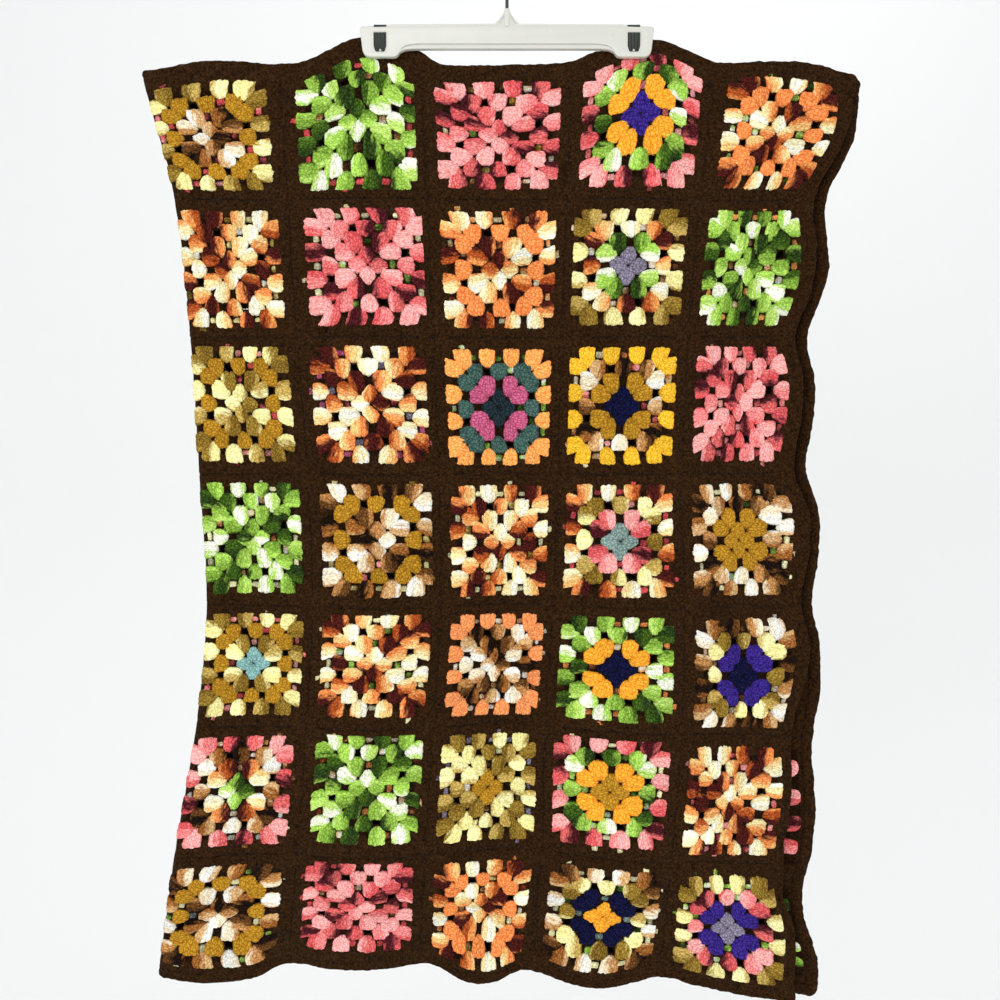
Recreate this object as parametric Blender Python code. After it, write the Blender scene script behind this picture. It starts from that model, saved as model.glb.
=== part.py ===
"""Granny square blanket, folded once and hung by its top edge from a clip hanger.

Units are metres, +Z up, and the blanket's front faces -Y. The origin is where the inside of the hook rests
on whatever holds it. The blanket is one sheet: a front layer, a fold along its left side and a back layer.
"""

import math
from typing import NamedTuple

import bmesh
import bpy
import numpy as np
from mathutils import Vector

MM = 0.001

# The blanket
SQUARE = 142 * MM  # from join to join, and what the seam table below spaces out
COLUMNS = 5  # squares across each layer
ROWS = 7
EDGING = 10 * MM
THICKNESS = 4 * MM
OPEN_GAP = 7.5 * MM  # the open spaces cut through, four to a square, in its third round
OPEN_GAP_CENTRE = 37 * MM  # out from the square's centre
OPEN_GAP_SHIFT = 12.3 * MM  # and along the side that it faces

# How it hangs
CLOTH_Y = 8.5 * MM  # the middle of the two layers, behind the hanger's own middle
FOLD_RADIUS = 8 * MM  # also half the distance between the layers where they hang free
FOLD_SHIFT = 7 * MM  # how far in front of the join the fold runs
GRIPPED = 2.5 * MM  # half the distance between the layers inside a clip
GRIP_RADIUS = 28 * MM
GRIP_FADE = 130 * MM
CLIP_LIFT = 28 * MM  # how far a clip pulls the top edge up
CLIP_LIFT_PEAKS = (-146 * MM, 156 * MM)  # just past each clip's middle, on its outer side
CLIP_LIFT_OUTWARDS = 50 * MM
CLIP_LIFT_INWARDS = 62 * MM
SIDE_SCALLOP = 12 * MM
TOP_SCALLOP = 6 * MM
BOTTOM_SCALLOPS = (17 * MM, 6 * MM, 30 * MM, 18 * MM, 12 * MM)  # a column of squares each, from the fold
SCALLOP_DEPTH = 0.4  # in squares from the edge
CORNER_DROOP = 12 * MM
CORNER_DROOP_DEPTH = 0.3  # in squares from the free edge
CORNER_PULL = 0.65  # an outer corner's share of the edging's width
PUFF = 1.5 * MM
SWAY_LENGTH = 430 * MM
SWAY_START = -90 * MM

# The hanger
CLIP_X = 131 * MM
PAD_HALF_WIDTH = 21.5 * MM
PAD_BOTTOM = -126.5 * MM
BEAM_TOP = -92 * MM
BEAM_BOTTOM = -117 * MM
BEAM_THICKNESS = 7 * MM
PAD_CORNER = 5 * MM
UNDERSIDE_FILLET = 8 * MM
BOSS_TOP = -76.5 * MM
BOSS_FOOT_HALF_WIDTH = 12.5 * MM
BOSS_HEAD_HALF_WIDTH = 5.5 * MM
SOCKET_RADIUS = 5 * MM
WINDOW_WIDTH = 13 * MM
WINDOW_TOP = -100.4 * MM
WINDOW_BOTTOM = -119.4 * MM
WINDOW_SKIN = 1.3 * MM  # the plastic in front of the spring's slot
WINDOW_LIP = 0.5 * MM  # what each side of the window hides of the slot
SLOT_DEPTH = 1.4 * MM
SLOT_BOTTOM = -121 * MM
CLEARANCE = 0.3 * MM
OVERSHOOT = 5 * MM  # how far a cutter reaches past what it cuts
BEAM_ROUNDING = 1.2 * MM

JAW_FRONT = 13.5 * MM
JAW_THICKNESS = 5 * MM
JAW_HALF_WIDTH = 20 * MM
JAW_BOTTOM = -126 * MM
JAW_CORNER = 4 * MM
PIVOT_RIB_HEIGHT = 5 * MM
PIVOT_RIB_INSET = 1 * MM

SPRING_WIDTH = 11.5 * MM
SPRING_THICKNESS = 0.8 * MM
SPRING_BEND = 2.4 * MM
SPRING_RISE = 1.6 * MM  # of its bridge over the jaws
SPRING_BACK_END = -114 * MM

WIRE_RADIUS = 1.75 * MM
HOOK_INNER_RADIUS = 18 * MM
STEM_TOP = -60 * MM
STEM_END = -89.7 * MM
BORE_END = -90 * MM
LOOP_START = math.radians(-30)
LOOP_END = math.radians(200)


class Seam(NamedTuple):
    """One line of joins across the blanket, in millimetres: its height at the fold, in the middle and at the
    free edge, the places of the fold, of the four joins between squares and of both layers' free edges
    without their edging, and how deep the folds are there."""

    z_fold: float
    z_middle: float
    z_free: float
    fold: float
    join_1: float
    join_2: float
    join_3: float
    join_4: float
    front: float
    back: float
    wave: float
    sway: float


SEAMS = (
    Seam(-143, -145, -146, -377, -235, -89, 68, 216, 350, 363, 0, 0),
    Seam(-268, -268, -270, -348, -230, -84, 63, 203, 316, 331, 4, 0),
    Seam(-411, -411, -411, -336, -223, -78, 59, 192, 300, 315, 8, 2),
    Seam(-557, -557, -556, -331, -213, -73, 56, 187, 301, 317, 10, 4),
    Seam(-700, -701, -700, -327, -210, -72, 52, 192, 313, 327, 10, 6),
    Seam(-837, -836, -846, -342, -219, -81, 44, 191, 310, 329, 9, 7),
    Seam(-985, -980, -992, -370, -233, -91, 40, 182, 305, 321, 8, 7),
    Seam(-1114, -1101, -1147, -390, -245, -96, 26, 170, 327, 343, 8, 6),
)

IVORY = (0.80, 0.79, 0.72)
STEEL = (0.55, 0.55, 0.56)
DARK_BROWN = (0.028, 0.013, 0.007)


def material(name, colour, roughness, metallic=0.0):
    """A Principled BSDF material."""
    made = bpy.data.materials.new(name)
    made.use_nodes = True
    shader = made.node_tree.nodes["Principled BSDF"]
    shader.inputs["Base Color"].default_value = (*colour, 1.0)
    shader.inputs["Roughness"].default_value = roughness
    shader.inputs["Metallic"].default_value = metallic
    return made


def add_object(name, mesh, finish=None, smooth_below=None):
    """Links a mesh to the scene under a name, smooth where its faces meet at less than smooth_below."""
    made = bpy.data.objects.new(name, mesh)
    bpy.context.scene.collection.objects.link(made)
    if finish:
        mesh.materials.append(finish)
    if smooth_below is not None:
        mesh.shade_smooth()
        mesh.set_sharp_from_angle(angle=smooth_below)
    return made


def add_bmesh(name, shape, finish=None, smooth_below=None):
    """The object of a bmesh, which is freed."""
    mesh = bpy.data.meshes.new(name)
    shape.to_mesh(mesh)
    shape.free()
    return add_object(name, mesh, finish, smooth_below)


# ---- the blanket ----


def smooth_step(low, high, value):
    """0 up to low and 1 from high on, with a soft change between them."""
    t = np.clip((value - low) / (high - low), 0.0, 1.0)
    return t * t * (3.0 - 2.0 * t)


def through_knots(knots, t):
    """A smooth curve through knots at t = 0, 1, 2 and so on, straight past both ends. The knots are one row
    each, with a column for each t."""
    knots = np.broadcast_to(knots, (len(knots), len(t)))
    padded = np.vstack([2 * knots[:1] - knots[1:2], knots, 2 * knots[-1:] - knots[-2:-1]])
    inside = np.clip(t, 0, len(knots) - 1)
    start = np.minimum(inside.astype(int), len(knots) - 2)
    f = inside - start
    a, b, c, d = (np.take_along_axis(padded, start[None] + k, axis=0)[0] for k in range(4))
    curve = 0.5 * (2 * b + (c - a) * f + (2 * a - 5 * b + 4 * c - d) * f**2 + (3 * b - a - 3 * c + d) * f**3)
    slope = np.where(t < 0, knots[1] - knots[0], knots[-1] - knots[-2])
    return curve + (t - inside) * slope


def seams_at(v):
    """The seam table's columns, smoothly between its rows, at v rows of squares from the top."""
    columns = np.array(SEAMS).T * MM
    return Seam(*(through_knots(column[:, None], v) for column in columns))


def places(u, v):
    """Where points of the blanket's middle surface hang.

    u counts squares from the join that the fold runs beside, to the front free edge at 5 and the back one
    at -5, and v counts them from the top edge down. The edging lies past these."""
    u, v = np.broadcast_arrays(np.atleast_1d(u).astype(float), np.atleast_1d(v).astype(float))
    seam = seams_at(v)
    in_front = u >= 0

    # Along the cloth, from the fold's line: the half turn of the fold is longer than it is wide.
    spare = (math.pi / 2 - 1) * FOLD_RADIUS
    back_step = (seam.back - seam.fold) / COLUMNS
    joins = (seam.join_1, seam.join_2, seam.join_3, seam.join_4, seam.front)
    knots = [-(back_step * k + spare) for k in range(COLUMNS, 0, -1)]
    knots += [np.full_like(v, -FOLD_SHIFT)]
    knots += [join - seam.fold + spare for join in joins]
    along = through_knots(np.array(knots), u + COLUMNS)
    turn = np.clip(along / FOLD_RADIUS, -math.pi / 2, math.pi / 2)
    straight = np.maximum(np.abs(along) - FOLD_RADIUS * math.pi / 2, 0.0)
    x = seam.fold + FOLD_RADIUS * (1 - np.cos(turn)) + straight

    # The wavy edges bulge at the middle of each square.
    across = np.where(in_front, seam.front, seam.back) - seam.fold
    near_side = smooth_step(COLUMNS - SCALLOP_DEPTH, COLUMNS, np.abs(u))
    x += SIDE_SCALLOP * near_side * np.sin(np.pi * np.clip(v, 0, ROWS)) ** 2
    waves = np.sin(np.pi * np.clip(u, -COLUMNS, COLUMNS)) ** 2
    near_top = smooth_step(SCALLOP_DEPTH, 0, v)
    near_bottom = smooth_step(ROWS - SCALLOP_DEPTH, ROWS, v)

    q = np.clip((x - seam.fold) / across, 0, 1)
    z = seam.z_fold * (1 - q) * (1 - 2 * q) + seam.z_free * q * (2 * q - 1)
    z += seam.z_middle * 4 * q * (1 - q)
    column = np.clip(np.abs(u), 0, COLUMNS - 0.001).astype(int)
    z += waves * (TOP_SCALLOP * near_top - np.take(BOTTOM_SCALLOPS, column) * near_bottom)
    in_first_row = np.clip(1 - v, 0, 1) ** 1.5
    for peak in CLIP_LIFT_PEAKS:
        outwards = (x - peak) * math.copysign(1, peak)
        width = np.where(outwards > 0, CLIP_LIFT_OUTWARDS, CLIP_LIFT_INWARDS)
        z += CLIP_LIFT * in_first_row * np.exp(-((outwards / width) ** 2))
    z -= CORNER_DROOP * in_first_row * smooth_step(COLUMNS - CORNER_DROOP_DEPTH, COLUMNS, np.abs(u)) ** 2

    # The layers part as they leave the clips, and hang in soft upright folds, one below each clip.
    from_clip = np.hypot(np.abs(x) - CLIP_X, z - (BEAM_TOP + PAD_BOTTOM) / 2)
    freed = smooth_step(GRIP_RADIUS, GRIP_FADE, from_clip)
    apart = GRIPPED + (FOLD_RADIUS - GRIPPED) * freed
    puffed = PUFF * freed * np.sin(np.pi * u) ** 2 * np.sin(np.pi * np.clip(v, 0, ROWS)) ** 2
    folds = -seam.wave * np.cos(np.pi * (x / CLIP_X - 1))
    folds += seam.sway * np.sin(2 * np.pi * (x - SWAY_START) / SWAY_LENGTH)
    y = CLOTH_Y + folds * freed - np.sin(turn) * (apart + puffed)
    return np.column_stack([x, y, z])


FOLD_LINES = tuple(-0.04 + 0.036 * k for k in range(6))  # in squares from the join, where the cloth turns
SIDE_STEPS = 4  # along each side of a square
HOLE_NEAR = (OPEN_GAP_CENTRE - OPEN_GAP / 2) / (SQUARE / 2)  # in half squares from the centre
HOLE_FAR = (OPEN_GAP_CENTRE + OPEN_GAP / 2) / (SQUARE / 2)
HOLE_LEFT = (OPEN_GAP_SHIFT - OPEN_GAP / 2) / (SQUARE / 2)
HOLE_RIGHT = (OPEN_GAP_SHIFT + OPEN_GAP / 2) / (SQUARE / 2)
EDGING_SQUARES = EDGING / SQUARE


class Sheet:
    """The blanket's middle surface as faces over (u, v) points that neighbours share."""

    def __init__(self):
        self.index = {}
        self.faces = []

    def point(self, u, v):
        """The number of the point at (u, v)."""
        key = (round(u, 5), round(v, 5))
        return self.index.setdefault(key, len(self.index))

    def face(self, *corners):
        """One face, left out where its corners coincide."""
        numbers = [self.point(*corner) for corner in corners]
        if len(set(numbers)) == len(numbers):
            self.faces.append(numbers)

    def square(self, column, row):
        """One granny square: a fan at its centre, four open gaps round it, and fans out to the sides."""
        low, high = (FOLD_LINES[-1], COLUMNS) if column >= 0 else (-COLUMNS, FOLD_LINES[0])

        def at(p, q, side):
            for _ in range(side):
                p, q = -q, p
            u = min(max(column + (p + 1) / 2, low), high)
            return u, row + (q + 1) / 2

        for side in range(4):
            near_left, near_right = at(HOLE_LEFT, HOLE_NEAR, side), at(HOLE_RIGHT, HOLE_NEAR, side)
            far_left, far_right = at(HOLE_LEFT, HOLE_FAR, side), at(HOLE_RIGHT, HOLE_FAR, side)
            following = (side + 3) % 4
            next_near = at(HOLE_LEFT, HOLE_NEAR, following)
            next_far = at(HOLE_LEFT, HOLE_FAR, following)
            rim = [at(-1 + 2 * k / SIDE_STEPS, 1, side) for k in range(SIDE_STEPS + 1)]
            self.face(at(0, 0, 0), near_right, near_left)
            self.face(at(0, 0, 0), next_near, near_right)
            self.face(near_right, next_near, next_far, far_right)
            self.face(far_left, far_right, rim[2])
            self.face(far_left, rim[2], rim[1])
            self.face(far_left, rim[1], rim[0])
            self.face(far_right, rim[3], rim[2])
            self.face(far_right, rim[4], rim[3])
            self.face(far_right, next_far, rim[4])

    def strip(self, line_a, line_b):
        """Quads between two rows of points with as many each."""
        for a, b, c, d in zip(line_a, line_a[1:], line_b[1:], line_b):
            self.face(a, b, c, d)

    def edging(self):
        """The edging round all four sides, its corners drawn in."""
        quarters = [k / SIDE_STEPS for k in range(COLUMNS * SIDE_STEPS + 1)]
        us = [-u for u in reversed(quarters) if u > 0] + list(FOLD_LINES)
        us += [u for u in quarters if u > FOLD_LINES[-1]]
        vs = [k / SIDE_STEPS for k in range(ROWS * SIDE_STEPS + 1)]
        out = EDGING_SQUARES
        drawn = out * CORNER_PULL
        for v_in, v_out, v_corner in ((0, -out, -drawn), (ROWS, ROWS + out, ROWS + drawn)):
            inner = [(u, v_in) for u in us]
            outer = [(u, v_out) for u in us]
            outer[0], outer[-1] = (-COLUMNS, v_out), (COLUMNS, v_out)
            if v_out > v_in:
                self.strip(inner, outer)
            else:
                self.strip(outer, inner)
            for side in (-1, 1):
                corner = ((side * COLUMNS, v_in), (side * (COLUMNS + out), v_in))
                corner += ((side * (COLUMNS + drawn), v_corner), (side * COLUMNS, v_out))
                clockwise = (side > 0) == (v_out > v_in)
                self.face(*(corner if clockwise else reversed(corner)))
        for side in (-1, 1):
            inner = [(side * COLUMNS, v) for v in vs]
            outer = [(side * (COLUMNS + out), v) for v in vs]
            if side > 0:
                self.strip(outer, inner)
            else:
                self.strip(inner, outer)

    def fold(self):
        """The narrow strips that turn from the front layer to the back one."""
        vs = [k / SIDE_STEPS for k in range(ROWS * SIDE_STEPS + 1)]
        for low, high in zip(FOLD_LINES, FOLD_LINES[1:]):
            self.strip([(high, v) for v in vs], [(low, v) for v in vs])


def build_blanket(finish):
    """The whole blanket as one solid sheet."""
    sheet = Sheet()
    for row in range(ROWS):
        for column in range(-COLUMNS, COLUMNS):
            sheet.square(column, row)
    sheet.fold()
    sheet.edging()
    points = np.array(list(sheet.index))
    mesh = bpy.data.meshes.new("blanket")
    mesh.from_pydata(places(points[:, 0], points[:, 1]).tolist(), [], sheet.faces)
    blanket = add_object("blanket", mesh, finish, smooth_below=math.radians(60))
    wall = blanket.modifiers.new("thickness", "SOLIDIFY")
    wall.thickness = THICKNESS
    wall.offset = 0
    return blanket


# ---- the hanger ----


def corner_arc(centre, radius, start, end, steps=4):
    """Points of an arc in (x, z), its angles in quarter turns."""
    angles = [math.pi / 2 * (start + (end - start) * k / steps) for k in range(steps + 1)]
    return [(centre[0] + radius * math.cos(a), centre[1] + radius * math.sin(a)) for a in angles]


def plate(outline, y_front, y_back):
    """A bmesh plate: an (x, z) outline between two depths."""
    shape = bmesh.new()
    front = [shape.verts.new((x, y_front, z)) for x, z in outline]
    face = shape.faces.new(front)
    grown = bmesh.ops.extrude_face_region(shape, geom=[face])["geom"]
    moved = [item for item in grown if isinstance(item, bmesh.types.BMVert)]
    bmesh.ops.translate(shape, vec=Vector((0, y_back - y_front, 0)), verts=moved)
    bmesh.ops.recalc_face_normals(shape, faces=shape.faces)
    return shape


def box(name, low, high):
    """A cutter's box between two corners."""
    shape = bmesh.new()
    bmesh.ops.create_cube(shape, size=1)
    for vert in shape.verts:
        vert.co = Vector(low[k] + (vert.co[k] + 0.5) * (high[k] - low[k]) for k in range(3))
    return as_guide(add_bmesh(name, shape))


def cylinder(name, radius, low, high, sides=24):
    """An upright cylinder on the Z axis, for a Boolean."""
    shape = bmesh.new()
    size = {"radius1": radius, "radius2": radius, "depth": high - low}
    bmesh.ops.create_cone(shape, cap_ends=True, segments=sides, **size)
    bmesh.ops.translate(shape, vec=Vector((0, 0, (low + high) / 2)), verts=shape.verts)
    return as_guide(add_bmesh(name, shape))


def as_guide(made):
    """Marks an object as one that only shapes others."""
    made.hide_render = True
    made.display_type = "WIRE"
    return made


def boolean(target, other, operation):
    """Joins another object to the target, or cuts it away."""
    step = target.modifiers.new(other.name, "BOOLEAN")
    step.operation = operation
    step.object = other
    return step


def beam_outline():
    """The hanger's front outline in (x, z), clockwise from the boss's foot on the right."""
    outer, inner = CLIP_X + PAD_HALF_WIDTH, CLIP_X - PAD_HALF_WIDTH
    right = [(BOSS_HEAD_HALF_WIDTH, BOSS_TOP), (BOSS_FOOT_HALF_WIDTH, BEAM_TOP)]
    right += corner_arc((outer - PAD_CORNER / 2, BEAM_TOP - PAD_CORNER / 2), PAD_CORNER / 2, 1, 0, 3)
    right += corner_arc((outer - PAD_CORNER, PAD_BOTTOM + PAD_CORNER), PAD_CORNER, 0, -1)
    right += corner_arc((inner + PAD_CORNER / 2, PAD_BOTTOM + PAD_CORNER / 2), PAD_CORNER / 2, -1, -2, 3)
    fillet = (inner - UNDERSIDE_FILLET, BEAM_BOTTOM - UNDERSIDE_FILLET)
    pad_inner_end = PAD_BOTTOM + PAD_CORNER / 2
    right += [point for point in corner_arc(fillet, UNDERSIDE_FILLET, 0, 1) if point[1] > pad_inner_end]
    return right + [(-x, z) for x, z in reversed(right)]


def build_beam(finish):
    """The moulded beam: a clip pad at each end, a boss, and a slot and window for each spring."""
    half = BEAM_THICKNESS / 2
    beam = add_bmesh("hanger_beam", plate(beam_outline(), -half, half), finish, math.radians(35))
    rounding = beam.modifiers.new("rounding", "BEVEL")
    rounding.width = BEAM_ROUNDING
    rounding.segments = 2
    rounding.limit_method = "ANGLE"
    rounding.angle_limit = math.radians(50)
    socket = cylinder("boss", SOCKET_RADIUS, BEAM_TOP - SOCKET_RADIUS, BOSS_TOP + BEAM_ROUNDING)
    boolean(beam, socket, "UNION")
    bore = cylinder("bore", WIRE_RADIUS + CLEARANCE, BORE_END, BOSS_TOP + OVERSHOOT, sides=12)
    boolean(beam, bore, "DIFFERENCE")
    slot_front = -half + WINDOW_SKIN
    slot_back = slot_front + SLOT_DEPTH
    for side, x in (("left", -CLIP_X), ("right", CLIP_X)):
        low, high = x - WINDOW_WIDTH / 2, x + WINDOW_WIDTH / 2
        slot = box(f"slot_{side}", (low, slot_front, SLOT_BOTTOM), (high, slot_back, BEAM_TOP + OVERSHOOT))
        window_low = (low + WINDOW_LIP, -half - OVERSHOOT, WINDOW_BOTTOM)
        window_high = (high - WINDOW_LIP, slot_front + SLOT_DEPTH / 2, WINDOW_TOP)
        window = box(f"window_{side}", window_low, window_high)
        boolean(beam, slot, "DIFFERENCE")
        boolean(beam, window, "DIFFERENCE")


def build_jaw(side, x, finish):
    """A clip's back jaw, with the rib at its top that it pivots on."""
    low, high = x - JAW_HALF_WIDTH, x + JAW_HALF_WIDTH
    top = BEAM_TOP - CLEARANCE
    outline = corner_arc((high - JAW_CORNER, top - JAW_CORNER), JAW_CORNER, 1, 0)
    outline += corner_arc((high - JAW_CORNER, JAW_BOTTOM + JAW_CORNER), JAW_CORNER, 0, -1)
    outline += corner_arc((low + JAW_CORNER, JAW_BOTTOM + JAW_CORNER), JAW_CORNER, -1, -2)
    outline += corner_arc((low + JAW_CORNER, top - JAW_CORNER), JAW_CORNER, 2, 1)
    back = JAW_FRONT + JAW_THICKNESS
    jaw = add_bmesh(f"back_jaw_{side}", plate(outline, JAW_FRONT, back), finish, math.radians(35))
    rib_top = top - PIVOT_RIB_INSET
    rib_front = BEAM_THICKNESS / 2 + CLEARANCE
    rib_low = (low + JAW_CORNER, rib_front, rib_top - PIVOT_RIB_HEIGHT)
    rib_high = (high - JAW_CORNER, JAW_FRONT + JAW_THICKNESS / 2, rib_top)
    boolean(jaw, box(f"rib_{side}", rib_low, rib_high), "UNION")


def build_spring(side, x, finish):
    """A clip's spring: a flat steel strip down the pad's slot, over both jaws and down the back."""
    centre_front = -BEAM_THICKNESS / 2 + WINDOW_SKIN + SLOT_DEPTH / 2
    centre_back = JAW_FRONT + JAW_THICKNESS + CLEARANCE + SPRING_THICKNESS / 2
    top = BEAM_TOP + SPRING_RISE + SPRING_THICKNESS / 2
    path = [(centre_front, SLOT_BOTTOM + CLEARANCE)]
    path += corner_arc((centre_front + SPRING_BEND, top - SPRING_BEND), SPRING_BEND, 2, 1)
    path += corner_arc((centre_back - SPRING_BEND, top - SPRING_BEND), SPRING_BEND, 1, 0)
    path += [(centre_back, SPRING_BACK_END)]
    half = SPRING_WIDTH / 2
    mesh = bpy.data.meshes.new(f"spring_{side}")
    points = [(x + offset, y, z) for y, z in path for offset in (-half, half)]
    mesh.from_pydata(points, [], [(2 * k, 2 * k + 1, 2 * k + 3, 2 * k + 2) for k in range(len(path) - 1)])
    spring = add_object(f"spring_{side}", mesh, finish, math.radians(35))
    wall = spring.modifiers.new("thickness", "SOLIDIFY")
    wall.thickness = SPRING_THICKNESS
    wall.offset = 0
    wall.use_even_offset = True


def hook_route():
    """The hook's centre line in (x, z): a straight stem, a sweep to one side and an open loop."""
    radius = HOOK_INNER_RADIUS + WIRE_RADIUS
    centre_z = -HOOK_INNER_RADIUS
    stem = Vector((0, STEM_TOP))
    joint = Vector((radius * math.cos(LOOP_START), centre_z + radius * math.sin(LOOP_START)))
    reach = (joint - stem).length
    leaving = Vector((0, 1)) * reach
    arriving = Vector((-math.sin(LOOP_START), math.cos(LOOP_START))) * reach
    route = [Vector((0, STEM_END)), Vector((0, (STEM_END + STEM_TOP) / 2))]
    for k in range(10):
        t = k / 10
        point = stem * (2 * t**3 - 3 * t**2 + 1) + joint * (3 * t**2 - 2 * t**3)
        route.append(point + leaving * (t**3 - 2 * t**2 + t) + arriving * (t**3 - t**2))
    for k in range(25):
        angle = LOOP_START + (LOOP_END - LOOP_START) * k / 24
        route.append(Vector((radius * math.cos(angle), centre_z + radius * math.sin(angle))))
    return route


def build_hook(finish):
    """The round steel hook, a bevelled curve."""
    curve = bpy.data.curves.new("hook", "CURVE")
    curve.dimensions = "3D"
    curve.bevel_depth = WIRE_RADIUS
    curve.bevel_resolution = 3
    curve.render_resolution_u = 0
    curve.use_fill_caps = True
    route = hook_route()
    spline = curve.splines.new("POLY")
    spline.points.add(len(route) - 1)
    for point, place in zip(spline.points, route):
        point.co = (place.x, 0, place.y, 1)
    curve.materials.append(finish)
    hook = bpy.data.objects.new("hook", curve)
    bpy.context.scene.collection.objects.link(hook)


def main():
    """Clears the scene and builds every piece."""
    for old in list(bpy.data.objects):
        bpy.data.objects.remove(old)
    build_blanket(material("brown_yarn", DARK_BROWN, 0.95))
    build_beam(material("beam_plastic", IVORY, 0.35))
    build_hook(material("hook_steel", STEEL, 0.3, 1.0))
    for side, x in (("left", -CLIP_X), ("right", CLIP_X)):
        build_jaw(side, x, material(f"jaw_plastic_{side}", IVORY, 0.35))
        build_spring(side, x, material(f"spring_steel_{side}", STEEL, 0.35, 1.0))


main()
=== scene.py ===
"""Dresses a granny square blanket that hangs folded from a clip hanger.

The frame gives the hanger's pieces and the blanket's plain solid. Here the blanket becomes a thin ground with
its open spaces cut out, which carries every crocheted cluster as a low pillow of three stitches, and the
hanger gets its plastic and steel. Lengths are in metres, +Z is up and the blanket's front faces -Y.
"""

import logging
import math
from dataclasses import dataclass
from enum import Enum
from functools import partial
from typing import NamedTuple

import bmesh
import bpy
import numpy as np
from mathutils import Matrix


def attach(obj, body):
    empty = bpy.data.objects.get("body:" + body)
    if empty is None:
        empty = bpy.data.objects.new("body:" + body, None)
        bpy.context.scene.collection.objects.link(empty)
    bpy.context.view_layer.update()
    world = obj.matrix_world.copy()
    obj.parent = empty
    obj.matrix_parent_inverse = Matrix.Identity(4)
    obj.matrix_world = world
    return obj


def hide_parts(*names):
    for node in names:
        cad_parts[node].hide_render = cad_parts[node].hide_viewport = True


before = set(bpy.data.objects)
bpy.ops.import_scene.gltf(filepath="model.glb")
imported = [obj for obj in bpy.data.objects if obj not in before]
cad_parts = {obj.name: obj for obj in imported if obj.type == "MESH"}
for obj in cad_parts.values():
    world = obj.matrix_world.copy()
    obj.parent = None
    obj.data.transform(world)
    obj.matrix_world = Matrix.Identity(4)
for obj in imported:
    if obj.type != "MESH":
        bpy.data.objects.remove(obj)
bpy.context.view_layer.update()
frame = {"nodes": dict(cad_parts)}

MM = 0.001
log = logging.getLogger("blanket")

Colour = tuple[float, float, float]
Corners = tuple[tuple[float, float, float], ...]


# ---- colours and materials ----


def linear(code: str) -> Colour:
    """Turns an sRGB colour code into linear light.

    Each channel c, as a share of 255, becomes c / 12.92 below 0.04045 and ((c + 0.055) / 1.055) ** 2.4 above.

    Args:
        code: six hexadecimal digits after a hash.

    Returns:
        The red, green and blue shares.
    """
    shares = np.array([int(code[k : k + 2], 16) for k in (1, 3, 5)]) / 255
    return tuple(np.where(shares <= 0.04045, shares / 12.92, ((shares + 0.055) / 1.055) ** 2.4).tolist())


def feed(tree: bpy.types.NodeTree, node: bpy.types.Node, inputs: dict) -> None:
    """Sets a node's inputs.

    Args:
        tree: the node tree that the node is in.
        node: the node.
        inputs: for each input's name or number, a value or the socket that it is linked from.
    """
    for name, value in inputs.items():
        if isinstance(value, bpy.types.NodeSocket):
            tree.links.new(value, node.inputs[name])
        else:
            node.inputs[name].default_value = value


def add_node(
    tree: bpy.types.NodeTree, kind: str, output: str | int, inputs: dict | None = None, **settings
) -> bpy.types.NodeSocket:
    """Adds a shader node.

    Args:
        tree: the node tree that it goes into.
        kind: the node's type name, after ShaderNode.
        output: the name or number of the output that is wanted.
        inputs: as for feed.
        **settings: the node's own properties.

    Returns:
        That output.
    """
    made = tree.nodes.new("ShaderNode" + kind)
    for name, value in settings.items():
        setattr(made, name, value)
    feed(tree, made, inputs or {})
    return made.outputs[output]


def new_material(name: str) -> tuple[bpy.types.Material, bpy.types.NodeTree, bpy.types.Node]:
    """Makes a material.

    Args:
        name: what it is called.

    Returns:
        The material, its node tree and its Principled BSDF.
    """
    made = bpy.data.materials.new(name)
    made.use_nodes = True
    return made, made.node_tree, made.node_tree.nodes["Principled BSDF"]


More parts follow.
